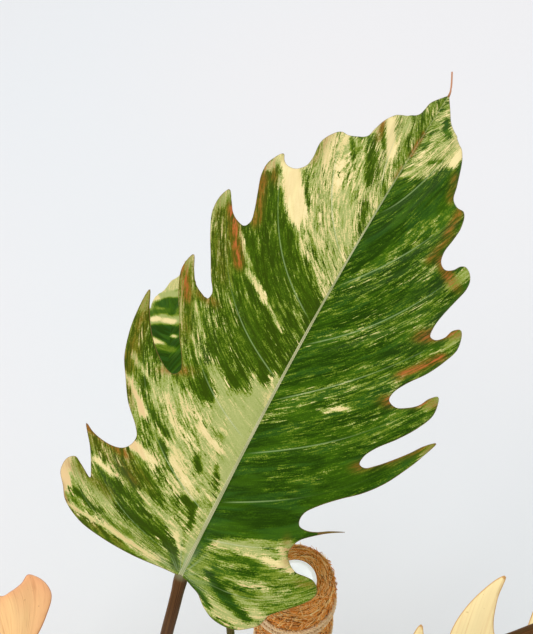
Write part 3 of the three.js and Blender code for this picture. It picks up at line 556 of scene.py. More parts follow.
# %% Strokes of the large leaf: from (x, y) to (x, y), half width, paleness 0 to 3, streakiness
STROKES_LEFT = [
    # the first lobe: cream tip and tan lower strip, dark bands between
    (-78, 16, -6, 5, 9, 1.3, 1.0),
    (-91, 25, -86, 15, 5, 2.7, 0.15),
    (-84, 26, -80, 20, 1.0, 1.5, 0.4),
    (-80, 20, -52, 14.5, 2.6, 1.7, 0.7),
    (-76, 4, -18, 2.2, 1.9, 2.3, 0.25),
    (-56, -1.6, -18, -1.6, 0.9, 0.9, 0.6),
    (-77, 11.8, -58, 9.2, 1.5, 0.1, 0.5),
    (-54, 8, -38, 6.6, 1.0, 0.8, 0.7),
    (-80, 8, -62, 6, 0.8, 1.1, 0.5),
    (-46, 17.2, -26, 14.6, 3.0, 0.1, 0.5),
    (-18, 16.5, -7, 7, 3.2, 0.15, 0.5),
    (-26, 10, -12, 6, 1.6, 0.9, 0.8),
    # the second lobe, olive with peach patches
    (-85, 44, -42, 30, 10, 0.75, 1.2),
    (-70, 27, -50, 25, 3.4, 0.7, 1.1),
    (-55, 27, -49, 25.5, 1.8, 0.2, 0.7),
    (-74, 33, -60, 31.2, 1.5, 2.7, 0.5),
    (-68, 35, -62, 34, 0.8, 2.2, 0.5),
    (-52, 35, -47, 33.5, 2.2, 0.15, 0.7),
    (-40, 30, -30, 25, 2.2, 2.0, 0.9),
    # between the second and third lobe, down to the stalk
    (-38, 40, -4, 18, 7, 1.45, 1.3),
    (-46, 40, -34, 33, 2.6, 0.5, 1.1),
    (-29, 31, -24, 28, 1.5, 0.15, 0.7),
    (-24, 26, -14, 21, 2.6, 1.9, 0.7),
    (-12, 18, -4.5, 10.5, 1.8, 2.5, 0.3),
    (-58, 51, -44, 48.5, 3.0, 2.75, 0.6),
    (-36, 45, -24, 40, 2.2, 1.2, 1.3),
    (-21, 46, -9, 39, 2.0, 2.3, 0.5),
    (-5, 44, -2, 12, 3, 1.75, 0.3),
    # the large sage sector beside the midrib
    (-50, 84, -2, 46, 18, 1.68, 0.85),
    (-24, 100, -3, 84, 13, 1.7, 0.4),
    (-10, 118, -1, 100, 6, 1.7, 0.22),
    (-4, 137, -1, 112, 2.6, 1.9, 0.3),
    (-58, 60, -42, 55, 4, 0.9, 1.1),
    (-42, 58, -34, 52, 2.2, 0.2, 0.7),
    (-54, 82, -30, 64, 2.2, 2.1, 1.1),
    (-40, 85, -20, 75, 1.2, 2.2, 1.0),
    (-28, 78, -14, 73, 1.8, 2.5, 0.8),
    (-34, 54, -14, 44, 2.4, 2.5, 0.9),
    (-46, 64, -26, 56, 2, 2.1, 0.8),
    (-10, 96, -2, 66, 6, 1.72, 0.2),
    (-22, 62, -19, 58, 1.6, 0.3, 1.0),
    (-9, 62, -5, 54, 1.5, 0.5, 1.1),
    (-19, 38, -12, 38, 1.9, 0.05, 0.5),
    (-10.5, 36, -8.5, 29, 1.8, 0.05, 0.5),
    (-84, 84, -74, 80, 1.8, 2.3, 0.5),
    (-74, 81, -64, 72, 3.4, 2.7, 0.5),
    (-72, 72, -62, 62, 1.8, 1.5, 0.9),
    (-66, 78, -46, 66, 2.2, 0.7, 1.2),
    (-58, 72, -46, 66, 1.6, 0.3, 0.7),
    # the third to fifth lobes, mostly green
    (-96, 130, -74, 92, 7, 0.7, 1.1),
    (-84, 96, -60, 84, 1.8, 1.9, 0.8),
    (-70, 110, -46, 102, 7.5, 0.35, 1.0),
    (-47, 103, -39, 98, 4.6, 0.2, 0.8),
    (-32, 117, -25, 112, 3.6, 0.2, 0.7),
    (-14, 128, -11, 124, 3.4, 0.1, 0.6),
    (-84, 162, -54, 108, 8, 0.85, 1.2),
    (-82, 152, -70, 128, 1.3, 1.9, 0.6),
    (-66, 140, -48, 120, 1.6, 1.7, 0.9),
    (-58, 122, -50, 115, 1.4, 1.7, 1.0),
    (-54, 144, -31, 126, 8, 0.5, 1.2),
    (-14, 142, -5, 135, 5, 0.35, 0.9),
    (-88, 214, -50, 150, 9, 0.7, 1.2),
    (-90, 206, -80, 180, 1.2, 1.9, 0.6),
    (-64, 192, -50, 178, 1.3, 1.8, 0.9),
    (-47, 173, -33, 164, 1.9, 2.15, 0.6),
    (-27, 160.5, -15, 153, 1.2, 1.9, 1.1),
    (-46, 198, -14, 168, 10, 0.5, 0.9),
    (-12, 184, -2, 160, 6, 0.5, 1.2),
    # the dark sixth lobe and the cream band over it
    (-70, 242, -20, 180, 12, 0.5, 0.85),
    (-66, 258, -62, 238, 2, 1.8, 0.3),
    (-10, 190, -2, 172, 6, 0.15, 0.6),
    (-52, 264, -4, 212, 22, 1.72, 1.2),
    (-48, 290, -4, 246, 16, 1.78, 1.2),
    (-24, 320, -3, 290, 13, 1.75, 1.3),
    (-7, 354, -3, 334, 7, 1.2, 1.3),
    (-61, 251, -43, 225, 6.0, 2.95, 0.3),
    (-30, 209, -24, 203, 2.0, 1.9, 1.2),
    (-52, 252, -40, 234, 1.2, 0.4, 0.9),
    (-20, 248, -11, 232, 5.5, 1.75, 0.45),
    (-50, 284, -44, 268, 3, 2.4, 0.8),
    (-20, 283, -15, 271, 3.2, 0.4, 1.0),
    (-38, 291, -32, 281, 1.6, 0.5, 0.9),
    (-26, 312, -18, 298, 2.0, 0.4, 0.8),
    (-6, 348, -4, 300, 5, 1.05, 1.3),
    (-8, 252, -3, 238, 2.4, 0.3, 0.8),
    (-23, 317, -13, 299, 3.4, 2.8, 0.25),
    (-18, 332, -12, 322, 3.4, 1.7, 0.6),
    # dull, lighter tips of the lobes
    (-97, 138, -95, 126, 2.4, 1.5, 0.5),
    (-86, 168, -84, 160, 2.6, 1.6, 0.5),
    (-88, 218, -87, 207, 3, 1.7, 0.5),
    (-71, 258, -73, 246, 3.2, 2.1, 0.4),
    (-5, 384, -2, 374, 3, 2.3, 0.2),
]
STROKES_RIGHT = [
    # the lobe at the base: a sage upper border, then cream, olive and dark bands that fan out
    (2, 8, 70, 26, 20, 1.05, 0.8),
    (1, 21, 7, 32, 5, 0.2, 0.5),
    (14, 27.5, 48, 45, 2.8, 1.66, 0.2),
    (20, 29.5, 46, 37, 2.4, 1.7, 0.25),
    (27, 36, 44, 44, 0.7, 1.2, 0.5),
    (36, 37, 41, 38.5, 0.8, 0.8, 0.5),
    (24, 28, 40, 31.5, 1.1, 2.3, 0.3),
    (41, 32, 55, 34.5, 2.0, 2.6, 0.25),
    (46, 40, 49, 37, 2.2, 2.2, 0.4),
    (15, 20.5, 34, 26.5, 1.9, 0.5, 0.6),
    (16, 13.5, 46, 26, 2.6, 0.6, 0.8),
    (24, 21, 31, 23.3, 0.8, 1.9, 0.5),
    (52, 27, 66, 30, 3, 1.15, 0.8),
    (25, 12.4, 32, 14, 0.9, 1.7, 0.5),
    (34, 15, 45, 18, 1.4, 2.0, 0.4),
    (26, 10.5, 54, 13.5, 1.5, 0.6, 0.8),
    (47, 12.5, 61, 19.5, 2.2, 1.3, 0.8),
    (32, 5.5, 46, 6, 1.4, 1.6, 0.5),
    (46, 2, 52, 3.5, 2.6, 1.9, 0.35),
    (22, -5, 48, -5, 4.2, 1.85, 0.3),
    (16, 8, 27, 3.5, 2.8, 0.15, 0.4),
    (28, 2.5, 43, -1, 2.2, 0.15, 0.4),
    (6, -0.6, 13, -2, 1.2, 0.3, 0.5),
    (15, -2.5, 21, -5.5, 1.6, 0.3, 0.5),
    (5, 3, 14, 6, 0.8, 1.5, 0.4),
    (8, 11.2, 12, 12.2, 1.0, 1.4, 0.6),
    # the dark right half, with fine pale streaks
    (4, 42, 44, 62, 12, 0.15, 0.4),
    (6, 60, 56, 92, 14, 0.2, 0.5),
    (26, 78, 60, 96, 5, 0.5, 1.1),
    (60, 90, 97, 136, 7, 0.35, 0.6),
    (4, 84, 30, 104, 9, 0.25, 0.7),
    (30, 104, 80, 140, 8, 0.6, 0.95),
    (5, 108, 20, 126, 6, 0.9, 1.3),
    (20, 120, 62, 150, 8, 0.5, 1.1),
    (30, 121.5, 42, 129, 1.2, 1.9, 0.6),
    (14, 142, 40, 164, 8, 0.3, 0.7),
    (40, 150, 80, 186, 8, 0.7, 1.05),
    (6, 160, 34, 190, 9, 0.35, 1.0),
    (36, 180, 66, 214, 9, 0.6, 1.2),
    (6, 196, 26, 216, 8, 0.5, 1.2),
    (26, 206, 56, 244, 9, 0.5, 1.15),
    (5, 224, 24, 262, 9, 0.2, 0.7),
    (28, 240, 46, 276, 8, 0.6, 1.1),
    (12, 264, 34, 294, 7, 0.3, 0.6),
    # painted sheen: lighter strokes at the lobe tips, where they curl down and catch the light
    (96, 131, 100, 140, 2.4, 1.35, 0.25),
    (85, 157, 89, 165, 3.4, 1.35, 0.25),
    (80, 198, 84, 211, 3.4, 1.35, 0.25),
    (64, 234, 70, 248, 3.8, 1.35, 0.25),
    # pale corner below the tip
    (10, 300, 22, 322, 8.5, 1.75, 1.1),
    (5, 350, 11, 318, 5.5, 1.6, 1.2),
    (2, 360, 2, 296, 2.6, 1.2, 1.3),
    (12, 342, 22, 331, 3, 1.95, 0.6),
    (28, 326, 27, 312, 3, 2.85, 0.2),
    (14, 304, 19, 310, 1.4, 0.6, 0.7),
    (32, 300, 38, 290, 3.5, 0.5, 0.5),
    (8.5, 342, 11, 334, 2.4, 0.3, 0.3),
]
# The visible part of the leaf behind it, in bands across
STROKES_BACK = [
    (-20, 60, 20, 20, 30, 0.1, 0.4),
    (-22, 140, -4, 170, 14, 2.0, 0.4),
    (-14, 137, 8, 150, 9, 1.95, 0.6),
    (-23, 131, 6, 127, 4.5, 1.7, 0.5),
    (-14, 150, -9, 162, 3.5, 2.7, 0.3),
    (-23, 129, -20, 124, 3.0, 2.4, 0.5),
    (-12, 119, 8, 114, 6, 0.4, 0.6),
    (-22, 110, -8, 108, 3.5, 0.7, 0.4),
    (-24, 101, 4, 94, 5.5, 1.5, 0.4),
    (-21, 102, -16, 100, 2.6, 2.8, 0.2),
    (-6, 96, 0, 93.5, 2.6, 2.8, 0.2),
    (-20, 89, 4, 81, 5, 0.05, 0.3),
    (-18, 76, -8, 69, 2.8, 2.5, 0.3),
    (3, 76, 5, 75, 1.6, 2.3, 0.3),
    (-8, 66, 3, 61, 3.4, 0.9, 0.4),
]
BLUSH = [
    # rust and pink at lobe tips and notches: from, to, half width, strength
    (-97, 134, -84, 92, 5, 0.3),
    (-84, 160, -66, 126, 5, 0.3),
    (-86, 206, -64, 168, 6, 0.25),
    (-80, 44, -48, 36, 6, 0.3),
    (-86, 24, -60, 20, 3.4, 0.35),
    (-85, 158, -75, 144, 3.4, 0.85),
    (-78, 206, -58, 178, 3, 0.95),
    (-89, 212, -84, 198, 2.6, 0.35),
    (-76, 244, -62, 208, 3.6, 0.6),
    (-74, 250, -67, 240, 3, 0.45),
    (-98, 136, -92, 118, 2.4, 0.45),
    (-86, 166, -82, 156, 2.4, 0.45),
    (-80, 3, -40, -1, 2, 0.3),
    (-52, 288, -51, 264, 2.8, 0.4),
    (-27, 316, -24, 302, 2.2, 0.6),
    (-0.5, 324, 0, 304, 1.3, 0.9),
    (-1, 290, -1, 284, 1.4, 0.8),
    (-96, 134, -88, 96, 2.2, 0.45),
    (-90, 94, -70, 70, 1.4, 0.4),
    (-88, 47, -60, 44, 2.6, 0.7),
    (-62, 98, -52, 103, 3, 0.55),
    (-76, 122, -56, 104, 2, 0.45),
    (-66, 148, -60, 147, 3, 0.5),
    (-84, 10, -76, 3, 1.8, 0.5),
    (98, 136, 64, 103, 2.4, 0.5),
    (64, 104, 78, 116, 3, 0.6),
    (62, 146, 84, 158, 3.4, 0.75),
    (62, 164, 78, 186, 2.6, 0.85),
    (64, 194, 78, 206, 4, 0.7),
    (52, 242, 62, 236, 4.4, 0.7),
    (48, 262, 44, 240, 2.2, 0.55),
    (46, 282, 46, 262, 2.6, 0.6),
    (33, 300, 36, 288, 2.8, 0.5),
    (47, 44, 50, 38, 3.0, 0.4),
    (64, 30, 72, 33, 2.2, 0.45),
]
print("strokes on the large leaf:", len(STROKES_LEFT) + len(STROKES_RIGHT))


# %% Painting strokes onto points
def near_stroke(x, y, stroke, soft):
    """1 inside the stroke and 0 outside, with soft sides and long pointed ends."""
    ax, ay, bx, by, half = stroke[:5]
    length = max(math.hypot(bx - ax, by - ay), 1e-6)
    way_x, way_y = (bx - ax) / length, (by - ay) / length
    along = (x - ax) * way_x + (y - ay) * way_y
    beside = (x - ax) * way_y - (y - ay) * way_x
    past = np.maximum(np.maximum(-along, along - length), 0)
    away = np.hypot(beside, 0.5 * past)
    cover = np.clip((half - away) / soft(half) + 0.5, 0, 1)
    return cover * cover * (3 - 2 * cover)


GROUND_TONE = 0.4
GROUND_STREAKS = 0.8


def painted(x, y, strokes):
    tone = np.full(len(x), GROUND_TONE)
    streaks = np.full(len(x), GROUND_STREAKS)
    border = np.zeros(len(x))
    for stroke in strokes:
        cover = near_stroke(x, y, stroke, lambda half: 2.2 + 0.5 * half)
        contrast = np.minimum(1.4 * np.abs(stroke[5] - tone), 2.0)
        border = np.maximum(border * (1 - cover), 4 * cover * (1 - cover) * contrast)
        tone += (stroke[5] - tone) * cover
        streaks += (stroke[6] - streaks) * cover
    return tone, np.maximum(streaks, border)


def blushed(x, y, strokes):
    found = np.zeros(len(x))
    for stroke in strokes:
        cover = near_stroke(x, y, stroke, lambda half: 2 + 1.1 * half)
        found = np.maximum(found, cover * stroke[5])
    return found


by_midrib = painted(np.array([-5.0]), np.array([80.0]), STROKES_LEFT)
print("paleness and streakiness by the midrib, 80 mm up:", [round(float(mark[0]), 2) for mark in by_midrib])


# %% Strokes of the other marbled leaves, drawn at random along their veins
STROKES_A_LOBE = 5


def drawn_strokes(leaf, halves, side, seed):
    chance = np.random.default_rng(seed)
    half = halves[0 if side > 0 else 1]
    strokes = []
    pale_side = chance.random() < 0.5
    for _ in range(len(half) * STROKES_A_LOBE):
        number = chance.uniform(-0.3, len(half) - 0.8)
        low = half[int(max(number, 0))]
        high = half[min(int(max(number, 0)) + 1, len(half) - 1)]
        starts, reach = np.sort(chance.uniform(2, 88 * leaf.scale, 2))
        ends = []
        for out in (starts, max(reach, starts + 8)):
            mixed = [vein_along(lobe, np.array([out]))[0] for lobe in (low, high)]
            ends.append((side * out, mixed[0] + (mixed[1] - mixed[0]) * (number % 1)))
        wide = chance.uniform(1.4, 9) * leaf.scale
        pale = chance.random() < (0.45 if pale_side else 0.22)
        tone = chance.uniform(1.7, 2.9) if pale else chance.uniform(0.1, 1.1)
        strokes.append((*ends[0], *ends[1], wide, tone, chance.uniform(0.3, 1.0)))
    return strokes


def drawn_blush(leaf, halves, side):
    half = halves[0 if side > 0 else 1]
    spots = []
    for i, lobe in enumerate(half[1:]):
        (tip_y, tip_x), (notch_y, notch_x) = lobe["tip"], lobe["notch"]
        strength = 0.45 + 0.4 * math.sin(3.1 * i + leaf.number) ** 2
        spots.append((side * notch_x, notch_y, side * tip_x, tip_y - 6, 3.6 * leaf.scale, strength))
    return spots


print("rust spots on one half of leaf 5:", len(drawn_blush(LEAVES[4], leaf_halves(LEAVES[4]), 1)))


# %% [markdown]
# ## Building a blade
# A thin solid leaf can be had from a plane and the Solidify modifier, but its edge then is as thick as its
# middle. Here the outline is filled with small even triangles, the top and the underside are set apart by
# the leaf's thickness, which runs out towards the edge, and a rib stands under the midrib.


# %% Places for small triangles inside the outline
ROW_SHARE = 0.9


def seed_points(leaf, outline):
    """Points in even rows, those inside the outline only."""
    step = leaf.step
    seeds = []
    for k, y in enumerate(np.arange(-24 * leaf.scale, leaf.length, step * ROW_SHARE)):
        shift = 0.5 * step if k % 2 else 0.0
        xs = np.arange(step, 104 * leaf.scale, step) - shift
        seeds.extend((side * x, y) for side in (-1, 1) for x in xs)
    seeds = np.array(seeds)
    inside = np.zeros(len(seeds), bool)
    for a, b in zip(outline, np.roll(outline, -1, axis=0)):
        straddles = (a[1] > seeds[:, 1]) != (b[1] > seeds[:, 1])
        if straddles.any():
            hit = seeds[:, 0] < a[0] + (b[0] - a[0]) * (seeds[:, 1] - a[1]) / (b[1] - a[1] + 1e-12)
            inside ^= straddles & hit
    return seeds[inside]


def edge_finder(outline):
    """A quick way to ask how far a point is from the outline."""
    ring = np.vstack([outline + (np.roll(outline, -1, axis=0) - outline) * k / 3 for k in range(3)])
    finder = kdtree.KDTree(len(ring))
    for i, point in enumerate(ring):
        finder.insert((*point, 0), i)
    finder.balance()
    return finder


print("triangles on the large leaf are about", LEAVES[0].step, "mm wide")


# %% Fill the outline, with a row of points along the midrib
def leaf_triangles(leaf, outline):
    step = leaf.step
    edge = edge_finder(outline)
    seeds = seed_points(leaf, outline)
    clear = np.array([edge.find((*point, 0))[2] for point in seeds])
    seeds = seeds[clear > 0.55 * step]
    spine_y = np.arange(step, leaf.length * BLADE_SHARE - 1, step * ROW_SHARE)
    spine = np.stack([np.zeros_like(spine_y), spine_y], 1)
    count = len(outline)
    everything = np.vstack([outline, spine, seeds])
    links = [(0, count)] + [(count + i, count + i + 1) for i in range(len(spine) - 1)]
    loop = list(range(count))
    made = delaunay_2d_cdt([tuple(p) for p in everything], links, [loop], 1, 1e-5)
    flat = np.array([tuple(p) for p in made[0]])
    triangles = np.array([face for face in made[2]])
    return flat, triangles, edge


# %% Half widths of the rib below and of the midrib on top
def rib_half(leaf, y):
    return leaf.scale * (3.4 - 2.1 * np.clip(y / leaf.length, 0, 1))


def midrib_half(leaf, y):
    return leaf.scale**2 * (1.35 - 1.05 * np.clip(y / leaf.length, 0, 1) ** 0.7)


print("midrib of the large leaf, half width at its base, mm:", midrib_half(LEAVES[0], 0))

# %% Relief that is finer than the frame's own: sunken veins, a banded midrib, a rolled edge
GROOVE_DEEP = {"grown": 0.5, "young": 0.15}
GROOVE_WIDE = 1.7
RIPPLE = 0.22
EDGE_ROLL = 1.3


def fine_relief(leaf, halves, x, y, rim):
    out = np.abs(x)
    number = number_at(halves, x, y, out)
    ahead = number_at(halves, x, y + 1, out)
    outward = number_at(halves, x, y, out + 1)
    slope = np.hypot(np.clip(ahead - number, -1, 1), np.clip(outward - number, -1, 1))
    spacing = np.clip(1 / np.maximum(slope, 1e-3), 3, 90)
    to_vein = np.abs(number - np.round(number)) * spacing
    groove = -GROOVE_DEEP[leaf.outline] * np.exp(-((to_vein / GROOVE_WIDE) ** 2))
    groove = groove * np.clip(out / 6, 0, 1) * np.clip(rim / 8, 0, 1)
    half = midrib_half(leaf, y)
    band = 0.55 * np.exp(-((out / half) ** 4)) - 0.6 * np.exp(-(((out - 1.7 * half) / (0.7 * half)) ** 2))
    ripple = RIPPLE * np.sin(number * 21 + 0.07 * out) * np.clip(out / 20, 0, 1)
    roll = -EDGE_ROLL * leaf.scale * np.exp(-rim / (2.2 * leaf.scale)) * np.clip((leaf.length - y) / 20, 0, 1)
    return (groove + band + ripple) * leaf.scale**0.5 + roll, spacing


print("veins are sunk by, mm:", GROOVE_DEEP)

# %% Points of the top and the underside
HALF_EDGE = 0.12
HALF_MORE = 0.28
EDGE_RUN = 1.2
RIB_DEEP = 4.6
NUDGE = 0.4


def blade_points(leaf, halves, x, y, rim, relief):
    middle = leaf_surface(leaf, halves, x, y)
    forward = leaf_surface(leaf, halves, x, y + NUDGE) - leaf_surface(leaf, halves, x, y - NUDGE)
    sideways = leaf_surface(leaf, halves, x + NUDGE, y) - leaf_surface(leaf, halves, x - NUDGE, y)
    normal = np.cross(sideways, forward)
    normal /= np.linalg.norm(normal, axis=1)[:, None]
    thin = np.clip(rim / EDGE_RUN, 0, 1)
    half_thick = (HALF_EDGE + HALF_MORE * np.sqrt(1 - (1 - thin) ** 2))[:, None]
    rib = RIB_DEEP * leaf.scale * (1 - 0.9 * np.clip(y / leaf.length, 0, 1))
    rib = rib * np.sqrt(np.maximum(0, 1 - (np.abs(x) / rib_half(leaf, y)) ** 2)) * np.clip(rim / 2, 0, 1)
    top = middle + normal * (half_thick + relief[:, None])
    under = middle + normal * (relief[:, None] - half_thick - rib[:, None])
    return np.vstack([top, under]) @ leaf_turn(leaf).T + leaf.base


print("a blade is", 2 * (HALF_EDGE + HALF_MORE), "mm thick, and", 2 * HALF_EDGE, "mm at its edge")


# %% Its faces, and the marks that the finish reads
OTHER_HALF = 30


def blade_faces(x, y, triangles, around):
    """The top's triangles, the same turned over below, and a thin wall between the two."""
    count = len(x)
    area = (x[triangles[:, 1]] - x[triangles[:, 0]]) * (y[triangles[:, 2]] - y[triangles[:, 0]])
    area -= (x[triangles[:, 2]] - x[triangles[:, 0]]) * (y[triangles[:, 1]] - y[triangles[:, 0]])
    triangles = np.where((area < 0)[:, None], triangles[:, ::-1], triangles)
    wall = [(i, count + i, count + (i + 1) % around, (i + 1) % around) for i in range(around)]
    below = triangles[:, ::-1] + count
    return triangles, [tuple(f) for f in triangles] + [tuple(f) for f in below] + wall


def mark_blade(piece, leaf, halves, x, y, triangles, around, rim, spacing):
    out = np.abs(x)
    numbers = [streak_number(half, y, out) for half in halves]
    both = [numbers[0], numbers[1] + OTHER_HALF]
    on_left = x[triangles].mean(axis=1) < 0
    corner = np.where(on_left[:, None], both[1][triangles], both[0][triangles])
    nearest = np.where(x < 0, both[1], both[0])
    wall = [nearest[[k, k, (k + 1) % around, (k + 1) % around]] for k in range(around)]
    veins = np.concatenate([corner.ravel(), corner[:, ::-1].ravel(), *wall])
    layer = piece.data.attributes.new("vein", "FLOAT", "CORNER")
    layer.data.foreach_set("value", veins.astype(np.float32))
    flows = [streak_flow(half, own, y, out) for half, own in zip(halves, numbers)]
    marks = {
        "out": out,
        "flow": np.where(x < 0, flows[1], flows[0]),
        "spacing": spacing,
        "rim": rim,
        "along": y / leaf.scale,
        "rib": out / midrib_half(leaf, y),
    }
    for name, values in marks.items():
        mark_points(piece, name, np.tile(values, 2))
    mark_points(piece, "under", np.repeat((0.0, 1.0), len(x)))
    mark_points(piece, "lines", np.full(2 * len(x), 0.0 if leaf.number == 2 else 1.0))


# %% From an outline to a closed blade
def build_blade(leaf, skin, slot):
    halves = leaf_halves(leaf)
    outline = leaf_outline(leaf, halves, leaf.step)
    flat, triangles, edge = leaf_triangles(leaf, outline)
    x, y = flat.T
    rim = np.array([edge.find((*point, 0))[2] for point in flat])
    relief, spacing = fine_relief(leaf, halves, x, y, rim)
    points = blade_points(leaf, halves, x, y, rim, relief)
    triangles, faces = blade_faces(x, y, triangles, len(outline))
    piece = new_piece(f"leaf_{leaf.number}", points, faces, skin, slot, f"blade_{leaf.number}")
    mark_blade(piece, leaf, halves, x, y, triangles, len(outline), rim, spacing)
    return piece, halves, x, y


# %% [markdown]
# ## The marbled skin
# On the real leaf, pale tissue shows in ragged streaks between the green, and age adds rust at the tips. It
# could be painted by hand in Texture Paint, but that makes a picture. So the finish takes the paleness of
# each point, adds noise that is stretched along the veins, and looks the sum up on one ramp of colours.

# %% From dark green to cream
PALEST = 3.2
MARBLE_STOPS = [
    (0.00, paint(34, 62, 2)),
    (0.12, paint(48, 82, 4)),
    (0.22, paint(68, 102, 12)),
    (0.27, paint(98, 124, 24)),
    (0.40, paint(134, 150, 52)),
    (0.45, paint(156, 170, 92)),
    (0.58, paint(180, 186, 116)),
    (0.64, paint(222, 208, 140)),
    (0.78, paint(238, 220, 156)),
    (1.00, paint(253, 236, 176)),
]
print("colours from dark green to cream:", len(MARBLE_STOPS))

# %% Noise in streaks along the veins
MM_PER_VEIN = 40.0


def streak_noises(skin):
    across = skin.times(skin.value("vein"), MM_PER_VEIN)
    flow = skin.value("flow")

    def streaky(width, length, shift, detail):
        """Noise from -0.5 to 0.5, in streaks about this wide and long in mm."""
        place = skin.vector(skin.math("DIVIDE", across, width), skin.math("DIVIDE", flow, length), shift)
        return skin.minus(skin.grain(place, 1.0, detail, 0.68), 0.5)

    return {
        "fine": streaky(1.2, 8.0, 0.3, 5.0),
        "middling": streaky(2.6, 20.0, 4.1, 5.0),
        "blotch": streaky(7.0, 36.0, 9.7, 1.0),
        "fleck": skin.step(streaky(1.3, 12.0, 14.2, 2.0), 0.1, 0.19, -0.1, 0.8),
        "dash": skin.step(streaky(1.8, 12.0, 31.0, 3.0), 0.1, 0.17, 0.05, -1.5),
        "patchy": skin.step(streaky(9.0, 26.0, 21.0, 1.0), -0.12, 0.14, 0.6, 1.35),
        "fresh": skin.step(streaky(14.0, 46.0, 51.0, 1.0), 0.0, 0.14, 0.0, 0.22),
        "cells": skin.minus(skin.grain(skin.place(), 1300.0, 2.0), 0.5),
    }


print("millimetres from one vein to the next, for the streaks:", MM_PER_VEIN)


# %% How pale each place is
def paleness(skin, noise):
    streaks = skin.value("streaks")
    rough = skin.math("MULTIPLY_ADD", noise["fine"], 4.8, skin.times(noise["middling"], 3.2))
    rough = skin.math("MULTIPLY_ADD", noise["blotch"], 1.4, rough)
    rough = skin.math("MULTIPLY_ADD", noise["cells"], 1.8, rough)
    rough = skin.math("MULTIPLY_ADD", skin.plus(noise["fleck"], noise["dash"]), streaks, rough)
    rough = skin.times(rough, noise["patchy"])
    tone = skin.math("MULTIPLY_ADD", rough, streaks, skin.value("tone"))
    return skin.math("MULTIPLY_ADD", noise["cells"], 0.3, tone)


# %% Cool, olive and fresh greens
def greens(skin, colour, tone, noise):
    left = skin.times(skin.step(skin.value("vein"), 15.0, 25.0), skin.value("lines"))
    right = skin.minus(1.0, left)
    cool = skin.times(skin.step(noise["blotch"], 0.0, 0.12), skin.step(tone, 1.0, 0.4), right)
    colour = skin.mix(skin.times(cool, 0.3), colour, paint(50, 96, 34))
    warm = skin.times(left, skin.step(tone, 1.6, 0.2))
    colour = skin.mix(skin.times(warm, 0.2), colour, paint(92, 104, 8))
    fresh = skin.times(noise["fresh"], skin.step(tone, 1.3, 0.5), right)
    return skin.mix(fresh, colour, paint(84, 130, 12))


# %% Peach on the palest places, rust at tips and notches
def peach_and_rust(skin, colour, tone, noise):
    along = skin.value("along")
    outside = skin.step(skin.value("out"), 32.0, 50.0, 0.25, 1.0)
    outside = skin.math("MAXIMUM", outside, skin.step(along, 44.0, 26.0))
    peach = skin.times(skin.step(noise["blotch"], -0.06, 0.08), skin.step(tone, 1.9, 2.6))
    peach = skin.times(peach, skin.step(along, 70.0, 170.0, 0.85, 0.3), outside)
    colour = skin.mix(peach, colour, paint(228, 194, 142))
    streaked = skin.step(skin.plus(noise["middling"], noise["fine"]), -0.16, 0.14, 0.3, 1.1)
    streaked = skin.times(skin.value("blush"), streaked)
    rust = skin.ramp(streaked, [
        (0.0, paint(104, 100, 28)),
        (0.6, paint(152, 96, 34)),
        (1.0, paint(190, 106, 56)),
    ])
    return skin.mix(skin.math("MULTIPLY", streaked, 1.2, clamp=True), colour, rust)


# %% Pale side veins
def off_vein(skin):
    """How far a point is from the nearest side vein, in mm."""
    vein = skin.value("vein")
    off = skin.math("ABSOLUTE", skin.minus(vein, skin.math("ROUND", vein)))
    return skin.times(off, skin.value("spacing"))


def side_veins(skin, colour, tone):
    out = skin.value("out")
    away = skin.math("DIVIDE", off_vein(skin), skin.step(out, 0.0, 90.0, 0.55, 0.3))
    on_vein = skin.times(skin.step(away, 1.15, 0.35), skin.step(skin.value("rim"), 3.0, 26.0))
    on_vein = skin.times(on_vein, skin.value("lines"), skin.step(out, 1.5, 12.0))
    vein_colour = skin.mix(skin.step(tone, 0.8, 2.2), paint(142, 168, 106), paint(208, 210, 160))
    return skin.mix(skin.times(on_vein, 0.7), colour, vein_colour), on_vein


# %% The midrib's bands, with painted shade along its sides, and the veins that fan out from the knuckle
def midrib(skin, colour):
    rib = skin.value("rib")
    along = skin.value("along")
    lengthwise = skin.vector(skin.times(rib, 2.2), skin.times(along, 0.03), 2.0)
    bands = skin.math("MULTIPLY_ADD", skin.minus(skin.grain(lengthwise, 1.0, 2.0), 0.5), 1.1, rib)
    rib_colour = skin.ramp(bands, [
        (0.0, paint(204, 198, 158)),
        (0.3, paint(142, 150, 98)),
        (0.55, paint(188, 186, 140)),
        (0.8, paint(218, 212, 176)),
        # the last, darker green at the rib's edge is painted shade from the grooves beside the midrib
        (1.0, paint(112, 130, 74)),
    ])
    rib_colour = skin.mix(skin.step(along, 150.0, 330.0, 0.0, 0.7), rib_colour, paint(160, 176, 118))
    share = skin.times(skin.step(rib, 1.2, 0.8, 0.0, 0.92), skin.step(along, 235.0, 315.0, 1.0, 0.35))
    return skin.mix(skin.times(share, skin.value("lines")), colour, rib_colour)


def knuckle_fan(skin, colour):
    out = skin.value("out")
    along = skin.value("along")
    bearing = skin.math("ARCTAN2", along, out)
    from_base = skin.math("SQRT", skin.math("MULTIPLY_ADD", out, out, skin.times(along, along)))
    fan = skin.vector(skin.times(bearing, 9.0), skin.times(from_base, 0.03), 8.0)
    fan = skin.step(skin.grain(fan, 1.0, 2.0), 0.44, 0.6, 0.15, 1.0)
    fan = skin.times(fan, skin.step(from_base, 24.0, 2.0, 0.0, 0.8), skin.step(skin.value("rim"), 0.5, 3.0))
    return skin.mix(fan, colour, paint(140, 160, 112))


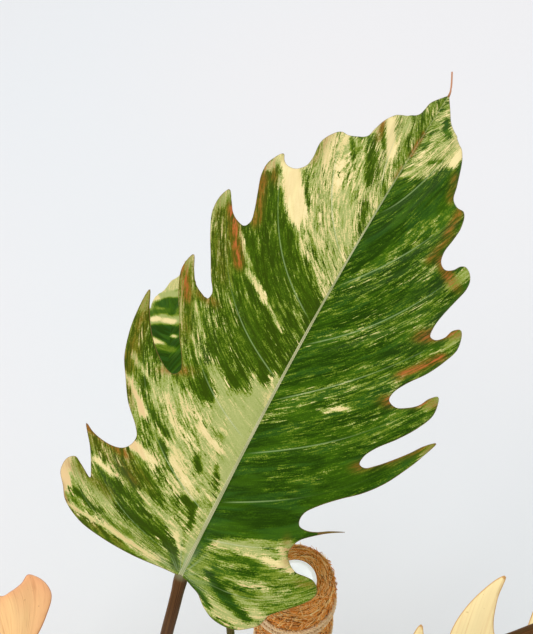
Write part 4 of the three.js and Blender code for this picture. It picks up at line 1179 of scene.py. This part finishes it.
# %% The whole marbled skin
def marbled_skin():
    skin = Finish("marbled_leaf_skin", roughness=0.4, specular=0.05)
    noise = streak_noises(skin)
    tone = paleness(skin, noise)
    colour = skin.ramp(skin.math("DIVIDE", tone, PALEST, clamp=True), MARBLE_STOPS)
    colour = greens(skin, colour, tone, noise)
    colour = peach_and_rust(skin, colour, tone, noise)
    colour, on_vein = side_veins(skin, colour, tone)
    colour = knuckle_fan(skin, midrib(skin, colour))
    under = skin.value("under")
    colour = skin.mix(skin.step(skin.value("rim"), 0.05, 0.45, 0.75, 0.0), colour, paint(128, 92, 50))
    colour = skin.mix(skin.step(skin.value("along"), 362.0, 371.0, 0.0, 0.9), colour, paint(208, 146, 114))
    colour = skin.mix(skin.times(under, 0.45), colour, paint(150, 172, 104))
    height = skin.math("MULTIPLY_ADD", noise["cells"], 0.3, skin.times(on_vein, -1.0))
    height = skin.math("MULTIPLY_ADD", noise["fine"], 0.35, height)
    rough = skin.step(skin.math("MULTIPLY_ADD", under, 0.4, noise["middling"]), -0.2, 0.6, 0.32, 0.6)
    return skin.done(colour, height, depth=0.0004, strength=0.5, roughness=rough)


marbled = marbled_skin()
print("nodes in the marbled skin:", len(marbled.node_tree.nodes))

# %% The marbled leaves
OUT_OF_FOCUS = 0.34
FIRST_SEED = 40


def marbling(leaf, halves, side, x, y):
    """Paleness, streakiness and blush, for one half of a leaf."""
    if leaf.number == 1:
        strokes = STROKES_LEFT if side < 0 else STROKES_RIGHT
        return *painted(x, y, strokes), blushed(x, y, BLUSH)
    drawn = drawn_strokes(leaf, halves, side, FIRST_SEED + leaf.number * 2 + side)
    if leaf.number == 2:
        tone, streaks = painted(x, y, drawn + STROKES_BACK)
        return tone, streaks * OUT_OF_FOCUS, blushed(x, y, [])
    return *painted(x, y, drawn), blushed(x, y, drawn_blush(leaf, halves, side))


for leaf in LEAVES:
    if leaf.outline == "grown":
        piece, halves, x, y = build_blade(leaf, marbled, "marbled_leaf")
        left_marks = marbling(leaf, halves, -1, x, y)
        right_marks = marbling(leaf, halves, 1, x, y)
        for name, left_mark, right_mark in zip(("tone", "streaks", "blush"), left_marks, right_marks):
            mark_points(piece, name, np.tile(np.where(x < 0, left_mark, right_mark), 2))

# %% [markdown]
# ## Young leaves
# A new leaf opens caramel or butter yellow before it greens. It has hardly any marbling: a lighter band runs
# up the middle, the edge is a thin rust line, and fine veins and a few specks show. One finish with two sets
# of colours serves both leaves.


# %% The young skin
def young_skin(name, middle, body, edge, speck):
    skin = Finish(name, roughness=0.4, specular=0.12)
    vein = skin.value("vein")
    out = skin.value("out")
    rim = skin.value("rim")
    lines = skin.grain(skin.vector(skin.times(vein, 26.0), skin.times(out, 0.03), 1.0), 1.0, 3.0)
    broad = skin.grain(skin.vector(skin.times(vein, 3.0), skin.times(out, 0.02), 6.0), 1.0, 1.0)
    uneven = skin.times(skin.minus(broad, 0.5), 0.9)
    warm = skin.math("ADD", skin.step(out, 8.0, 96.0), uneven, clamp=True)
    colour = skin.mix(warm, middle, body)
    colour = skin.mix(skin.step(lines, 0.52, 0.72, 0.0, 0.3), colour, edge)
    colour = skin.mix(skin.step(rim, 0.4, 9.0, 0.4, 0.0), colour, body)
    colour = skin.mix(skin.step(rim, 0.1, 0.8, 0.85, 0.0), colour, edge)
    on_vein = skin.minus(1.0, skin.step(off_vein(skin), 0.2, 1.1))
    colour = skin.mix(skin.times(on_vein, 0.15), colour, edge)
    rib = skin.minus(1.0, skin.step(skin.value("rib"), 0.75, 1.25))
    colour = skin.mix(skin.times(rib, 0.6), colour, body)
    dots = skin.grain(skin.place(), 420.0, 1.0)
    colour = skin.mix(skin.step(dots, 0.73, 0.78, 0.0, 0.5), colour, speck)
    colour = skin.mix(skin.times(skin.value("under"), 0.3), colour, middle)
    return skin.done(colour, skin.plus(lines, skin.times(on_vein, -0.3)), depth=0.0004, strength=0.5)


# %% The caramel and the butter leaf
caramel = young_skin("caramel_leaf_skin", middle=paint(255, 206, 144), body=paint(255, 180, 128),
                     edge=paint(190, 108, 62), speck=paint(186, 118, 74))
butter = young_skin("butter_leaf_skin", middle=paint(255, 244, 184), body=paint(255, 231, 172),
                    edge=paint(214, 156, 88), speck=paint(210, 174, 104))
for leaf in LEAVES:
    if leaf.outline == "young":
        young = (caramel, "caramel_leaf") if leaf.number == 3 else (butter, "butter_leaf")
        build_blade(leaf, *young)

# %% [markdown]
# ## Stem and stalks
# The stem climbs beside the pole and swells where each stalk leaves it. The stalks are round and firm,
# brown-maroon with an olive band and fine lengthwise streaks, and end in a pale knuckle under the blade.
# A curve with a bevel would do for a plain rod; a mesh keeps the swelling and carries the lengthwise marks.

# %% The stem's line and its thickness
STEM_BOTTOM = 70.0
STEM_TOP = 408.0
STEM_X = -13
STEM_Y = -39
STEM_RADIUS = 9.2
NODE_SWELL = 1.9
BUD_RADIUS = 1.4


def stem_point(z):
    return np.stack([STEM_X + 1.6 * np.sin(z / 21), STEM_Y + 1.2 * np.cos(z / 27), z], -1)


def stem_radius(z):
    swell = max(math.exp(-(((z - leaf.node + 4) / 6) ** 2)) for leaf in LEAVES)
    ring = 0.5 * math.exp(-((min(abs(z - leaf.node + 12) for leaf in LEAVES) / 1.1) ** 2))
    bud = min(max((STEM_TOP - z) / 30, 0), 1)
    return BUD_RADIUS + (STEM_RADIUS + NODE_SWELL * swell + ring - BUD_RADIUS) * math.sqrt(bud)


print("stem radius at its foot, mm:", round(stem_radius(STEM_BOTTOM), 2))


# %% The finish of stem and stalks
OLIVE_SIDE = 4.2


def skin_blend(first, second, share):
    return tuple(a + (b - a) * share for a, b in zip(first, second))


def stalk_skin(name, dark, band, light, spotted):
    skin = Finish(name, roughness=0.42, specular=0.08)
    turn = skin.value("turn")
    lengthwise = skin.times(skin.value("along"), 0.012)
    around = skin.vector(skin.math("COSINE", turn), skin.math("SINE", turn), lengthwise)
    fine = skin.grain(skin.stretched(around, 9.0, 9.0, 1.4), 1.0, 3.0, 0.6)
    broad = skin.grain(skin.stretched(around, 1.4, 1.4, 0.8), 1.0, 2.0)
    colour = skin.ramp(fine, [(0.34, dark), (0.5, skin_blend(dark, light, 0.45)), (0.68, light)])
    facing = skin.math("COSINE", skin.minus(turn, OLIVE_SIDE))
    facing = skin.plus(skin.times(facing, 0.5), 0.5)
    uneven = skin.times(skin.minus(broad, 0.5), 0.9)
    olive = skin.step(skin.plus(facing, uneven), 0.66, 0.95)
    colour = skin.mix(skin.times(olive, 0.7), colour, band)
    spots = skin.grain(skin.stretched(around, 5.0, 5.0, 16.0), 1.0, 2.0)
    colour = skin.mix(skin.step(spots, 0.62, 0.7, 0.0, spotted), colour, light)
    colour = skin.mix(skin.value("knuckle"), colour, paint(150, 156, 118))
    return skin.done(colour, skin.plus(fine, skin.times(spots, 0.5)), depth=0.0005, strength=0.6)


stem_finish = stalk_skin("stem_skin", paint(74, 70, 34), paint(96, 116, 52), paint(142, 136, 84), 0.35)
stalk_finish = stalk_skin("stalk_skin", paint(58, 33, 14), paint(72, 72, 28), paint(106, 72, 36), 0.3)
olive_finish = stalk_skin("olive_stalk_skin", paint(66, 60, 26), paint(84, 92, 38), paint(112, 106, 60), 0.2)
print("stalk skins:", stem_finish.name, stalk_finish.name, olive_finish.name)


# %% Round bars that remember the way along and around them
def marked_bar(heap, marks, line, radii, around, knuckle=None):
    points, faces = bar(line, radii, around)
    marks["along"].append(np.repeat(walked_along(line), around))
    marks["turn"].append(np.tile(np.arange(around) * 2 * math.pi / around, len(line)))
    marks["knuckle"].append(np.repeat(np.zeros(len(line)) if knuckle is None else knuckle, around))
    heap.add(points, faces)


def set_marks(piece, marks):
    for name, values in marks.items():
        mark_points(piece, name, np.concatenate(values))


def empty_marks():
    return {"along": [], "turn": [], "knuckle": []}


print("marks on stem and stalks:", sorted(empty_marks()))

# %% The stem, with roots that clasp the pole or drop to the bark
heights = np.linspace(STEM_BOTTOM, STEM_TOP, 260)
stem_heap = Heap()
stem_marks = empty_marks()
marked_bar(stem_heap, stem_marks, stem_point(heights), [stem_radius(z) for z in heights], 40)
POLE_RADIUS = 24.6
ROOT_OFF_POLE = 4.8
HUG = POLE_RADIUS + ROOT_OFF_POLE
CLASP_STEPS = np.arange(6)
for z, way in ((338, 1), (296, -1), (258, 1), (228, -1)):
    turns = math.atan2(STEM_Y, STEM_X) + way * np.radians(np.linspace(26, 92, len(CLASP_STEPS)))
    clasp_z = z - 5 * CLASP_STEPS + 2 * np.sin(2 * CLASP_STEPS)
    clasp = np.stack([HUG * np.cos(turns), HUG * np.sin(turns), clasp_z], 1)
    line = smooth_line(np.vstack([stem_point(np.array(float(z))), clasp]), 1.2)
    marked_bar(stem_heap, stem_marks, line, np.linspace(1.7, 0.7, len(line)), 10)
for z, heading, reach in ((190, 215, 26), (172, 262, 24), (156, 305, 22)):
    start = stem_point(np.array(float(z)))
    outward = np.array([math.cos(math.radians(heading)), math.sin(math.radians(heading))])
    stops = [start]
    for share, height in ((0.55, z - 4), (0.9, (130 + z) / 2), (1, 134), (1.05, 116)):
        stops.append(np.array([*(start[:2] + outward * reach * share), height]))
    line = smooth_line(stops, 1.5)
    marked_bar(stem_heap, stem_marks, line, np.linspace(2.0, 1.3, len(line)), 12)
stem = new_piece("plant_stem", stem_heap.all_points(), stem_heap.faces, stem_finish, "stem_skin", "stem")
set_marks(stem, stem_marks)

# %% The eight stalks, each up to the knuckle under its blade
STALK_STEP = 1.6
STALK_TOP_RADIUS = 3.7
STALK_FOOT_RADIUS = 7.2
UNDER_BLADE = 2.4
for leaf in LEAVES:
    top_end = (0, 2.5 * leaf.scale, -UNDER_BLADE * leaf.scale)
    stops = [stem_point(np.array(leaf.node - 10.0)), *leaf.via]
    stops.append(leaf_turn(leaf) @ top_end + leaf.base)
    line = smooth_line(stops, STALK_STEP)
    share = np.linspace(0, 1, len(line))
    slim = STALK_TOP_RADIUS * (1 + (leaf.scale - 1) * 0.7)
    stout = STALK_FOOT_RADIUS * (1 + (leaf.scale - 1) * 0.5)
    radii = slim + (stout - slim) * (1 - share) ** 2.2
    left = (1 - share) * len(line) * STALK_STEP
    knuckle = 0.6 * np.clip(1 - left / (5 * leaf.scale), 0, 1)
    radii = radii * (1 + 0.1 * np.exp(-(((left - 7) / 5) ** 2)) - 0.25 * np.clip(1 - left / 3, 0, 1))
    heap = Heap()
    marks = empty_marks()
    marked_bar(heap, marks, line, radii, 28, knuckle)
    finish = olive_finish if leaf.number == 2 else stalk_finish
    stalk = new_piece(f"leaf_stalk_{leaf.number}", heap.all_points(), heap.faces, finish, "stalk_skin",
                      f"stalk_{leaf.number}")
    set_marks(stalk, marks)

# %% [markdown]
# ## The pole's pipe
# A coir pole has a plastic water pipe as its core, open at the top. A cylinder with a bevel would do, but a
# turned profile gives the wall, the mouth and its rounded lip in one form, and the same helper turns the pot.


# %% A turned form from a profile
def lathe(profile, around, uneven=None):
    turn = np.arange(around) * 2 * math.pi / around
    radius = np.array([p[0] for p in profile], float)[:, None] * np.ones(around)
    height = np.array([p[1] for p in profile], float)[:, None] * np.ones(around)
    if uneven is not None:
        radius = radius + uneven(turn[None, :], height)
    points = np.stack([radius * np.cos(turn), radius * np.sin(turn), height], -1).reshape(-1, 3)
    return points, ring_faces(len(profile), around)


def closed_lathe(profile, around, uneven=None):
    points, faces = lathe([*profile, profile[0]], around, uneven)
    count = len(profile) * around
    return points[:count], [tuple(i % count for i in face) for face in faces]


print("faces of a turned test ring:", len(closed_lathe([(1, 0), (2, 0), (2, 1)], 12)[1]))


# %% The pipe, open at the top
POLE_TOP = 560.0
POLE_BOTTOM = 20.0
pipe_finish = Finish("white_pipe_finish", roughness=0.28, specular=0.5)
scuffs = pipe_finish.grain(pipe_finish.stretched(pipe_finish.place(), 60, 60, 12), 3.0, 3.0)
pipe_colour = pipe_finish.ramp(scuffs, [(0.35, paint(240, 243, 242)), (0.7, paint(250, 251, 250))])
pipe_finish.done(pipe_colour, scuffs, depth=0.0003, strength=0.2)
# A faint glow over the whole pipe is painted light: it brightens the inside of the bore.
pipe_finish.shader.inputs["Emission Color"].default_value = paint(242, 244, 244)
pipe_finish.shader.inputs["Emission Strength"].default_value = 0.2
inner = 10.95
outer = 13.35
lip = POLE_TOP + 1
pipe_profile = [(inner, POLE_BOTTOM), (outer, POLE_BOTTOM), (outer, lip - 0.7), (outer - 0.3, lip - 0.15),
                (outer - 0.8, lip), (inner + 0.7, lip), (inner + 0.2, lip - 0.2), (inner, lip - 0.8)]
points, faces = closed_lathe(pipe_profile, 96)
new_piece("water_pipe", points, faces, pipe_finish.material, "white_pipe", "pole_pipe")

# %% [markdown]
# ## Coir
# Coir is coconut fibre, matted round the pipe. Hair particles would make the fuzz, but they are not part of a
# mesh that can be reused. So the mat is a turned tube with an uneven skin, and some thousands of short
# three-sided fibres are laid on it in code.

# %% The coir's finish
coir_finish = Finish("coir_finish", roughness=0.9, specular=0.08)
matted = coir_finish.grain(coir_finish.place(), 330.0, 5.0, 0.75)
# The ramp follows the bump's noise, so over the coir's own browns it paints shade, near black-brown,
# into the hollows between tufts, and a pale gold highlight onto their tops.
coir_stops = [(0.4, paint(84, 36, 8)), (0.5, paint(234, 146, 56)), (0.6, paint(255, 216, 134))]
coir_colour = coir_finish.ramp(matted, coir_stops)
coir_finish.done(coir_colour, matted, depth=0.002, strength=1.0)
fibre_finish = Finish("coir_fibre_finish", roughness=0.75, specular=0.1)
strand = fibre_finish.value("strand")
fibre_colour = fibre_finish.ramp(strand, [(0.0, paint(104, 50, 14)), (0.3, paint(228, 138, 52)),
                                          (0.65, paint(255, 188, 96)), (1.0, paint(255, 228, 164))])
fibre_finish.done(fibre_colour)
print("coir finishes:", coir_finish.material.name, fibre_finish.material.name)


# %% The mat
def coir_uneven(turn, z):
    tufts = 0.3 * np.sin(23 * turn + z / 2.3) * np.sin(z / 3.1)
    return 0.25 * np.sin(11 * turn + z / 9) + 0.25 * np.sin(7 * turn - z / 17) + tufts


MAT_INSIDE = 13.9
side_heights = np.linspace(POLE_BOTTOM, POLE_TOP - 5, 170)
mat_profile = [(MAT_INSIDE, POLE_BOTTOM)] + [(POLE_RADIUS - 0.8, z) for z in side_heights]
mat_profile += [(POLE_RADIUS - 1.2, POLE_TOP - 3), (POLE_RADIUS - 2.2, POLE_TOP - 1.4),
                (POLE_RADIUS - 4, POLE_TOP - 0.4), (19, POLE_TOP - 0.3), (17, POLE_TOP - 0.6),
                (15, POLE_TOP - 0.9), (MAT_INSIDE, POLE_TOP - 2)]
points, faces = closed_lathe(mat_profile, 108, coir_uneven)
new_piece("coir_mat", points, faces, coir_finish.material, "coir_fibre", "pole_coir")


# %% Loose fibres on its side and rim
FIBRE_POINTS = 5


def fibre_on_rim(chance, t):
    start = chance.uniform(0, 2 * math.pi)
    sweep = chance.normal(0, 0.4)
    r = np.clip(chance.uniform(14.5, 23.5) + chance.normal(0, 3) * t, 14.2, POLE_RADIUS)
    hop = chance.uniform(0, 1.4) * t * chance.random()
    z = POLE_TOP - 0.3 - 0.18 * np.maximum(r - 20, 0) ** 1.5 + hop
    return start + sweep * t, r, z


def fibre_on_side(chance, t, reach, z_low, z_high, stand_off):
    start = chance.uniform(0, 2 * math.pi)
    slant = chance.uniform(-math.pi / 2, math.pi / 2)
    turn = start + math.cos(slant) * reach / POLE_RADIUS * (t - 0.5) + 0.06 * np.sin(6 * t + start)
    z = chance.uniform(z_low, z_high) + math.sin(slant) * reach * (t - 0.5)
    z = np.minimum(z + chance.normal(0, 1.0) * np.sin(5 * t), POLE_TOP - 0.5)
    lift = stand_off * chance.random() ** 4 * (2 * t - 1) ** 2
    sunk = 0.1 * np.maximum(z - POLE_TOP + 5, 0) ** 1.4
    return turn, POLE_RADIUS - 0.3 + chance.uniform(-0.3, 0.5) + lift - sunk, z


def fibres(name, seed, count, z_low, z_high, longest, rim_share, stand_off):
    chance = np.random.default_rng(seed)
    t = np.linspace(0, 1, FIBRE_POINTS)
    heap = Heap()
    strands = []
    for _ in range(count):
        thick = chance.uniform(0.12, 0.36)
        reach = chance.uniform(0.35, 1.0) * longest
        if chance.random() < rim_share:
            turn, r, z = fibre_on_rim(chance, t)
        else:
            turn, r, z = fibre_on_side(chance, t, reach, z_low, z_high, stand_off)
        line = np.stack([r * np.cos(turn), r * np.sin(turn), z], 1)
        heap.add(*bar(line, thick * (1 - 0.5 * t), 3, closed=False))
        strands.append(np.full(FIBRE_POINTS * 3, chance.random()))
    piece = new_piece(name, heap.all_points(), heap.faces, fibre_finish.material, "coir_fibre")
    mark_points(piece, "strand", np.concatenate(strands))


fibres("coir_fibres_top", 5, 6400, POLE_TOP - 70, POLE_TOP, 13, 0.3, 2.6)
fibres("coir_fibres_low", 6, 6000, 132, POLE_TOP - 60, 20, 0.0, 3.0)

# %% [markdown]
# ## Twine
# Jute twine is laid from three plies, and it holds the coir on the pole. One round tube with a bump could
# pass for it from afar, but its edge would be smooth. So three thin tubes turn about one winding line.

# %% The twine's finish
twine_finish = Finish("twine_finish", roughness=0.85, specular=0.2)
hairy = twine_finish.grain(twine_finish.stretched(twine_finish.place(), 1.0, 1.0, 3.0), 600.0, 4.0, 0.7)
twine_stops = [(0.3, paint(176, 140, 98)), (0.5, paint(228, 198, 154)), (0.7, paint(246, 224, 186))]
twine_finish.done(twine_finish.ramp(hairy, twine_stops), hairy, depth=0.0005, strength=0.9)
print("twine finish:", twine_finish.material.name)

# %% The winding line, open at first and close near the top
WIND_FROM = 142
PITCH = 60
CLOSE_PITCH = 8
CLOSE_TURNS = 1.3
BELOW_TOP = 19
close_from = POLE_TOP - BELOW_TOP - CLOSE_PITCH * CLOSE_TURNS
open_turns = (close_from - WIND_FROM) / PITCH
turns = np.linspace(0, open_turns + CLOSE_TURNS, 1500)
close_climb = close_from + CLOSE_PITCH * (turns - open_turns)
climb = np.where(turns < open_turns, WIND_FROM + PITCH * turns, close_climb)
angle = 2 * math.pi * (turns - turns[-1]) + math.radians(-20)
winding = POLE_RADIUS + 1.5
twine_line = np.stack([winding * np.cos(angle), winding * np.sin(angle), climb], 1)
walked = walked_along(twine_line)
print("twine length, mm:", round(float(walked[-1])))

# %% Three plies about that line
PLIES = 3
PLY_RADIUS = 0.8
PLY_OFF_MIDDLE = 0.78
LAY_LENGTH = 6.5
across, up = frames_along(twine_line)
twine_heap = Heap()
for ply in range(PLIES):
    lay = (2 * math.pi * (walked / LAY_LENGTH + ply / PLIES))[:, None]
    off_middle = PLY_OFF_MIDDLE * (across * np.cos(lay) + up * np.sin(lay))
    twine_heap.add(*bar(twine_line + off_middle, PLY_RADIUS, 7))
new_piece("jute_twine", twine_heap.all_points(), twine_heap.faces, twine_finish.material, "jute_twine",
          "pole_twine")

# %% [markdown]
# ## The pot
# The pot is outside the photograph, so it stays plain: a tapered off-white pot with a rim band. A subdivided
# cylinder would need creases; a turned profile gives each edge its own small round.

# %% The pot's finish
pot_finish = Finish("pot_glaze_finish", roughness=0.45, specular=0.45)
clay = pot_finish.grain(pot_finish.place(), 90.0, 4.0, 0.6)
flecks = pot_finish.grain(pot_finish.place(), 700.0, 1.0)
pot_colour = pot_finish.ramp(clay, [(0.3, paint(222, 216, 204)), (0.7, paint(236, 231, 221))])
pot_colour = pot_finish.mix(pot_finish.step(flecks, 0.68, 0.74, 0.0, 0.5), pot_colour, paint(176, 162, 142))
pot_finish.done(pot_colour, clay, depth=0.0006, strength=0.35)
print("pot finish:", pot_finish.material.name)


# %% Its profile, and the turned form
POT_HEIGHT = 150
POT_FOOT = 62
POT_FLARE = 18
POT_WALL = 5
RIM_FROM = 124
MOUTH = 77
MOUTH_SLOPE = 24


def pot_wall(z):
    return POT_FOOT + POT_FLARE * z / POT_HEIGHT


def pot_inside(z):
    if z < RIM_FROM:
        return pot_wall(z) - POT_WALL
    narrow = pot_wall(RIM_FROM) - POT_WALL
    return narrow + (MOUTH - narrow) * (z - RIM_FROM) / MOUTH_SLOPE


band = pot_wall(RIM_FROM)
outside = [(0.01, 0), (58, 0), (60.5, 0.2), (61.7, 1), (62.2, 2.2), (pot_wall(40), 40), (pot_wall(80), 80),
           (pot_wall(123.4), 123.4), (band + 0.4, 124), (band + 3.4, 125.4), (band + 4, 126.6)]
rim = [(83.8, 146.5), (83.9, 148.4), (83.2, 149.6), (82, 150), (80.4, 150), (79.4, 149.6), (78.8, 148.4)]
inside = [(MOUTH, 147), (pot_inside(136), 136), (pot_inside(124), 124), (pot_inside(60), 60),
          (pot_inside(10), 10), (pot_inside(7.2) - 2, 7), (0.01, 7)]
pot_profile = outside + rim + inside
points, faces = closed_lathe(pot_profile, 144)
pot = new_piece("plain_pot", points, faces, pot_finish.material, "pot_glaze", "pot")

# %% Four drain holes in its floor
DRAINS = 4
DRAIN_RADIUS = 5.0
DRAINS_FROM_MIDDLE = 34
cutters = Heap()
for k in range(DRAINS):
    turn = 2 * math.pi * (k + 0.5) / DRAINS
    centre = np.array([math.cos(turn), math.sin(turn), 0]) * DRAINS_FROM_MIDDLE
    cutters.add(*bar(np.array([centre + (0, 0, -9), centre + (0, 0, 16)]), DRAIN_RADIUS, 32))
cutter_mesh = bpy.data.meshes.new("drain_cutter")
cutter_mesh.from_pydata(cutters.all_points() * MM, [], cutters.faces)
cutter = bpy.data.objects.new("drain_cutter", cutter_mesh)
bpy.context.scene.collection.objects.link(cutter)
drill = pot.modifiers.new("drains", "BOOLEAN")
drill.operation = "DIFFERENCE"
drill.object = cutter
drilled = bpy.data.meshes.new_from_object(pot.evaluated_get(bpy.context.evaluated_depsgraph_get()))
pot.modifiers.clear()
pot.data = drilled
bpy.data.objects.remove(cutter)
print("pot after drilling:", len(drilled.polygons), "faces")

# %% [markdown]
# ## Bark mix
# The growing mix for such a plant is coarse bark with perlite. A disc with a bump would hide the edges of the
# chips, and a physics drop of loose chips would need a long run for a part that is hardly seen. So a lumpy
# bed fills the pot, and chips of many shapes are strewn over it from a fixed seed.

# %% The bed of bark mix
bark_finish = Finish("bark_mix_finish", roughness=0.9, specular=0.2)
crumbs = bark_finish.grain(bark_finish.place(), 260.0, 5.0, 0.65)
bark_stops = [(0.3, paint(34, 22, 15)), (0.5, paint(66, 44, 30)), (0.72, paint(104, 74, 50))]
bark_colour = bark_finish.ramp(crumbs, bark_stops)
bark_finish.done(bark_colour, crumbs, depth=0.003, strength=1.0)
SOIL_TOP = 130.0
BED_RADIUS = 78.6
radial = np.linspace(0, BED_RADIUS, 60)
bed_profile = [(max(r, 0.01), SOIL_TOP) for r in radial]
bed_profile += [(pot_inside(124) - 0.4, 124), (pot_inside(8) - 0.5, 7.5), (0.01, 7.5)]


def bed_lumps(x, y):
    return 2.2 * (np.sin(x / 6.1 + 1.3) * np.cos(y / 5.3) + 0.6 * np.sin((x + y) / 3.7))


points, faces = closed_lathe(bed_profile[::-1], 120)
on_top = points[:, 2] > SOIL_TOP - 0.5
points[on_top, 2] += bed_lumps(points[on_top, 0], points[on_top, 1])
new_piece("bark_bed", points, faces, bark_finish.material, "bark_mix", "soil")


# %% One chunk, a lump with eight sides
CHUNK_SIDES = 8
CHUNK_ROWS = [(0.0, 0.72), (0.35, 1.0), (0.7, 0.95), (1.0, 0.6)]


def chunk(chance, size):
    rows = len(CHUNK_ROWS)
    turn = np.arange(CHUNK_SIDES) * 2 * math.pi / CHUNK_SIDES
    wobble = chance.uniform(0.72, 1.1, (rows, CHUNK_SIDES))
    points = []
    for (z, wide), own in zip(CHUNK_ROWS, wobble):
        radius = wide * own
        ring = [np.cos(turn) * radius, np.sin(turn) * radius, np.full(CHUNK_SIDES, z - 0.5)]
        points.append(np.stack(ring, 1) * size)
    points = np.vstack(points) + chance.normal(0, 0.05, (rows * CHUNK_SIDES, 3)) * size
    faces = ring_faces(rows, CHUNK_SIDES)
    faces.append(tuple(range(CHUNK_SIDES))[::-1])
    faces.append(tuple((rows - 1) * CHUNK_SIDES + j for j in range(CHUNK_SIDES)))
    tilt = chance.normal(0, 0.45, 2)
    spin = chance.uniform(0, 2 * math.pi)
    x, y, z = points.T
    y, z = y * math.cos(tilt[0]) - z * math.sin(tilt[0]), y * math.sin(tilt[0]) + z * math.cos(tilt[0])
    x, z = x * math.cos(tilt[1]) + z * math.sin(tilt[1]), z * math.cos(tilt[1]) - x * math.sin(tilt[1])
    x, y = x * math.cos(spin) - y * math.sin(spin), x * math.sin(spin) + y * math.cos(spin)
    return np.stack([x, y, z], 1), faces


print("faces of one chunk:", len(chunk(np.random.default_rng(1), np.ones(3))[1]))


# %% Chips of bark and grains of perlite, clear of the pole and the stem
SCATTER_RADIUS = 75
POLE_CLEAR = 29
STEM_CLEAR = 13


def scatter(name, seed, count, sizes, skin, slot):
    chance = np.random.default_rng(seed)
    heap = Heap()
    while count:
        radius = SCATTER_RADIUS * math.sqrt(chance.random())
        turn = chance.uniform(0, 2 * math.pi)
        x, y = radius * math.cos(turn), radius * math.sin(turn)
        if math.hypot(x, y) < POLE_CLEAR or math.hypot(x - STEM_X, y - STEM_Y) < STEM_CLEAR:
            continue
        size = np.array([chance.uniform(*s) for s in sizes])
        points, faces = chunk(chance, size)
        heap.add(points + (x, y, SOIL_TOP + bed_lumps(x, y) + chance.uniform(0, 2.4)), faces)
        count -= 1
    new_piece(name, heap.all_points(), heap.faces, skin, slot)


chip_finish = Finish("bark_chip_finish", roughness=0.85, specular=0.25)
layers = chip_finish.grain(chip_finish.stretched(chip_finish.place(), 1.0, 1.0, 4.0), 200.0, 4.0, 0.6)
chip_stops = [(0.3, paint(58, 36, 24)), (0.5, paint(98, 64, 42)), (0.72, paint(142, 102, 70))]
chip_colour = chip_finish.ramp(layers, chip_stops)
chip_finish.done(chip_colour, layers, depth=0.002, strength=0.9)
perlite_finish = Finish("perlite_finish", roughness=0.8, specular=0.3)
pores = perlite_finish.grain(perlite_finish.place(), 900.0, 3.0)
perlite_colour = perlite_finish.ramp(pores, [(0.3, paint(198, 194, 184)), (0.6, paint(238, 236, 230))])
perlite_finish.done(perlite_colour, pores, depth=0.0008, strength=0.8)
scatter("bark_chips", 11, 620, [(3.5, 8.5), (2.5, 5.5), (2.2, 4.6)], chip_finish.material, "bark_mix")
scatter("perlite_grains", 12, 170, [(1.3, 2.6), (1.2, 2.4), (1.4, 3.2)], perlite_finish.material, "bark_mix")

# %% [markdown]
# ## Floor and light
# The photograph is nearly shadowless, so the floor is pale and the light comes from large soft panels.
# An environment picture could light it too, but a plain sky and three panels are simple and repeatable.

# %% A pale floor
floor_mesh = bpy.data.meshes.new("floor")
floor_mesh.from_pydata([(-20, -20, 0), (20, -20, 0), (20, 20, 0), (-20, 20, 0)], [], [(0, 1, 2, 3)])
floor = bpy.data.objects.new("floor", floor_mesh)
floor_finish = Finish("floor_finish", roughness=0.9, specular=0.1)
tint = floor_finish.grain(floor_finish.place(), 0.7, 1.0)
floor_finish.done(floor_finish.ramp(tint, [(0.35, paint(232, 236, 240)), (0.65, paint(238, 236, 238))]))
floor_mesh.materials.append(floor_finish.material)
bpy.context.scene.collection.objects.link(floor)
print("floor corners:", len(floor_mesh.vertices))

# %% Soft light
bpy.context.scene.view_settings.view_transform = "Standard"
SKY_STRENGTH = 0.63
world = bpy.data.worlds.new("sky")
bpy.context.scene.world = world
world.use_nodes = True
world.node_tree.nodes["Background"].inputs["Color"].default_value = (1.0, 0.995, 0.99, 1.0)
world.node_tree.nodes["Background"].inputs["Strength"].default_value = SKY_STRENGTH


def panel(name, place, aim, size, power, colour):
    light = bpy.data.lights.new(name, "AREA")
    light.shape = "DISK"
    light.size = size
    light.energy = power
    light.color = colour
    lamp = bpy.data.objects.new(name, light)
    lamp.location = place
    ways = np.array(aim, float) - np.array(place, float)
    flat = math.hypot(ways[0], ways[1])
    tip = math.pi / 2 + math.atan2(ways[2], flat)
    lamp.rotation_euler = (tip, 0, math.atan2(ways[1], ways[0]) - math.pi / 2)
    bpy.context.scene.collection.objects.link(lamp)


panel("window_left", (-2.4, -1.4, 2.6), (0, 0, 0.5), 2.2, 52, (1.0, 0.99, 0.97))
panel("fill_right", (2.6, -0.6, 1.8), (0, 0, 0.5), 2.0, 19, (0.98, 0.99, 1.0))
panel("top_back", (0.4, 2.2, 2.6), (0, 0, 0.5), 2.0, 22, (1.0, 1.0, 1.0))
print("lamps:", sorted(light.name for light in bpy.data.lights))

# %% [markdown]
# ## The frame's size
# The dressed plant has to keep the frame's size, and every piece rides with the frame.

print("plant dressed")
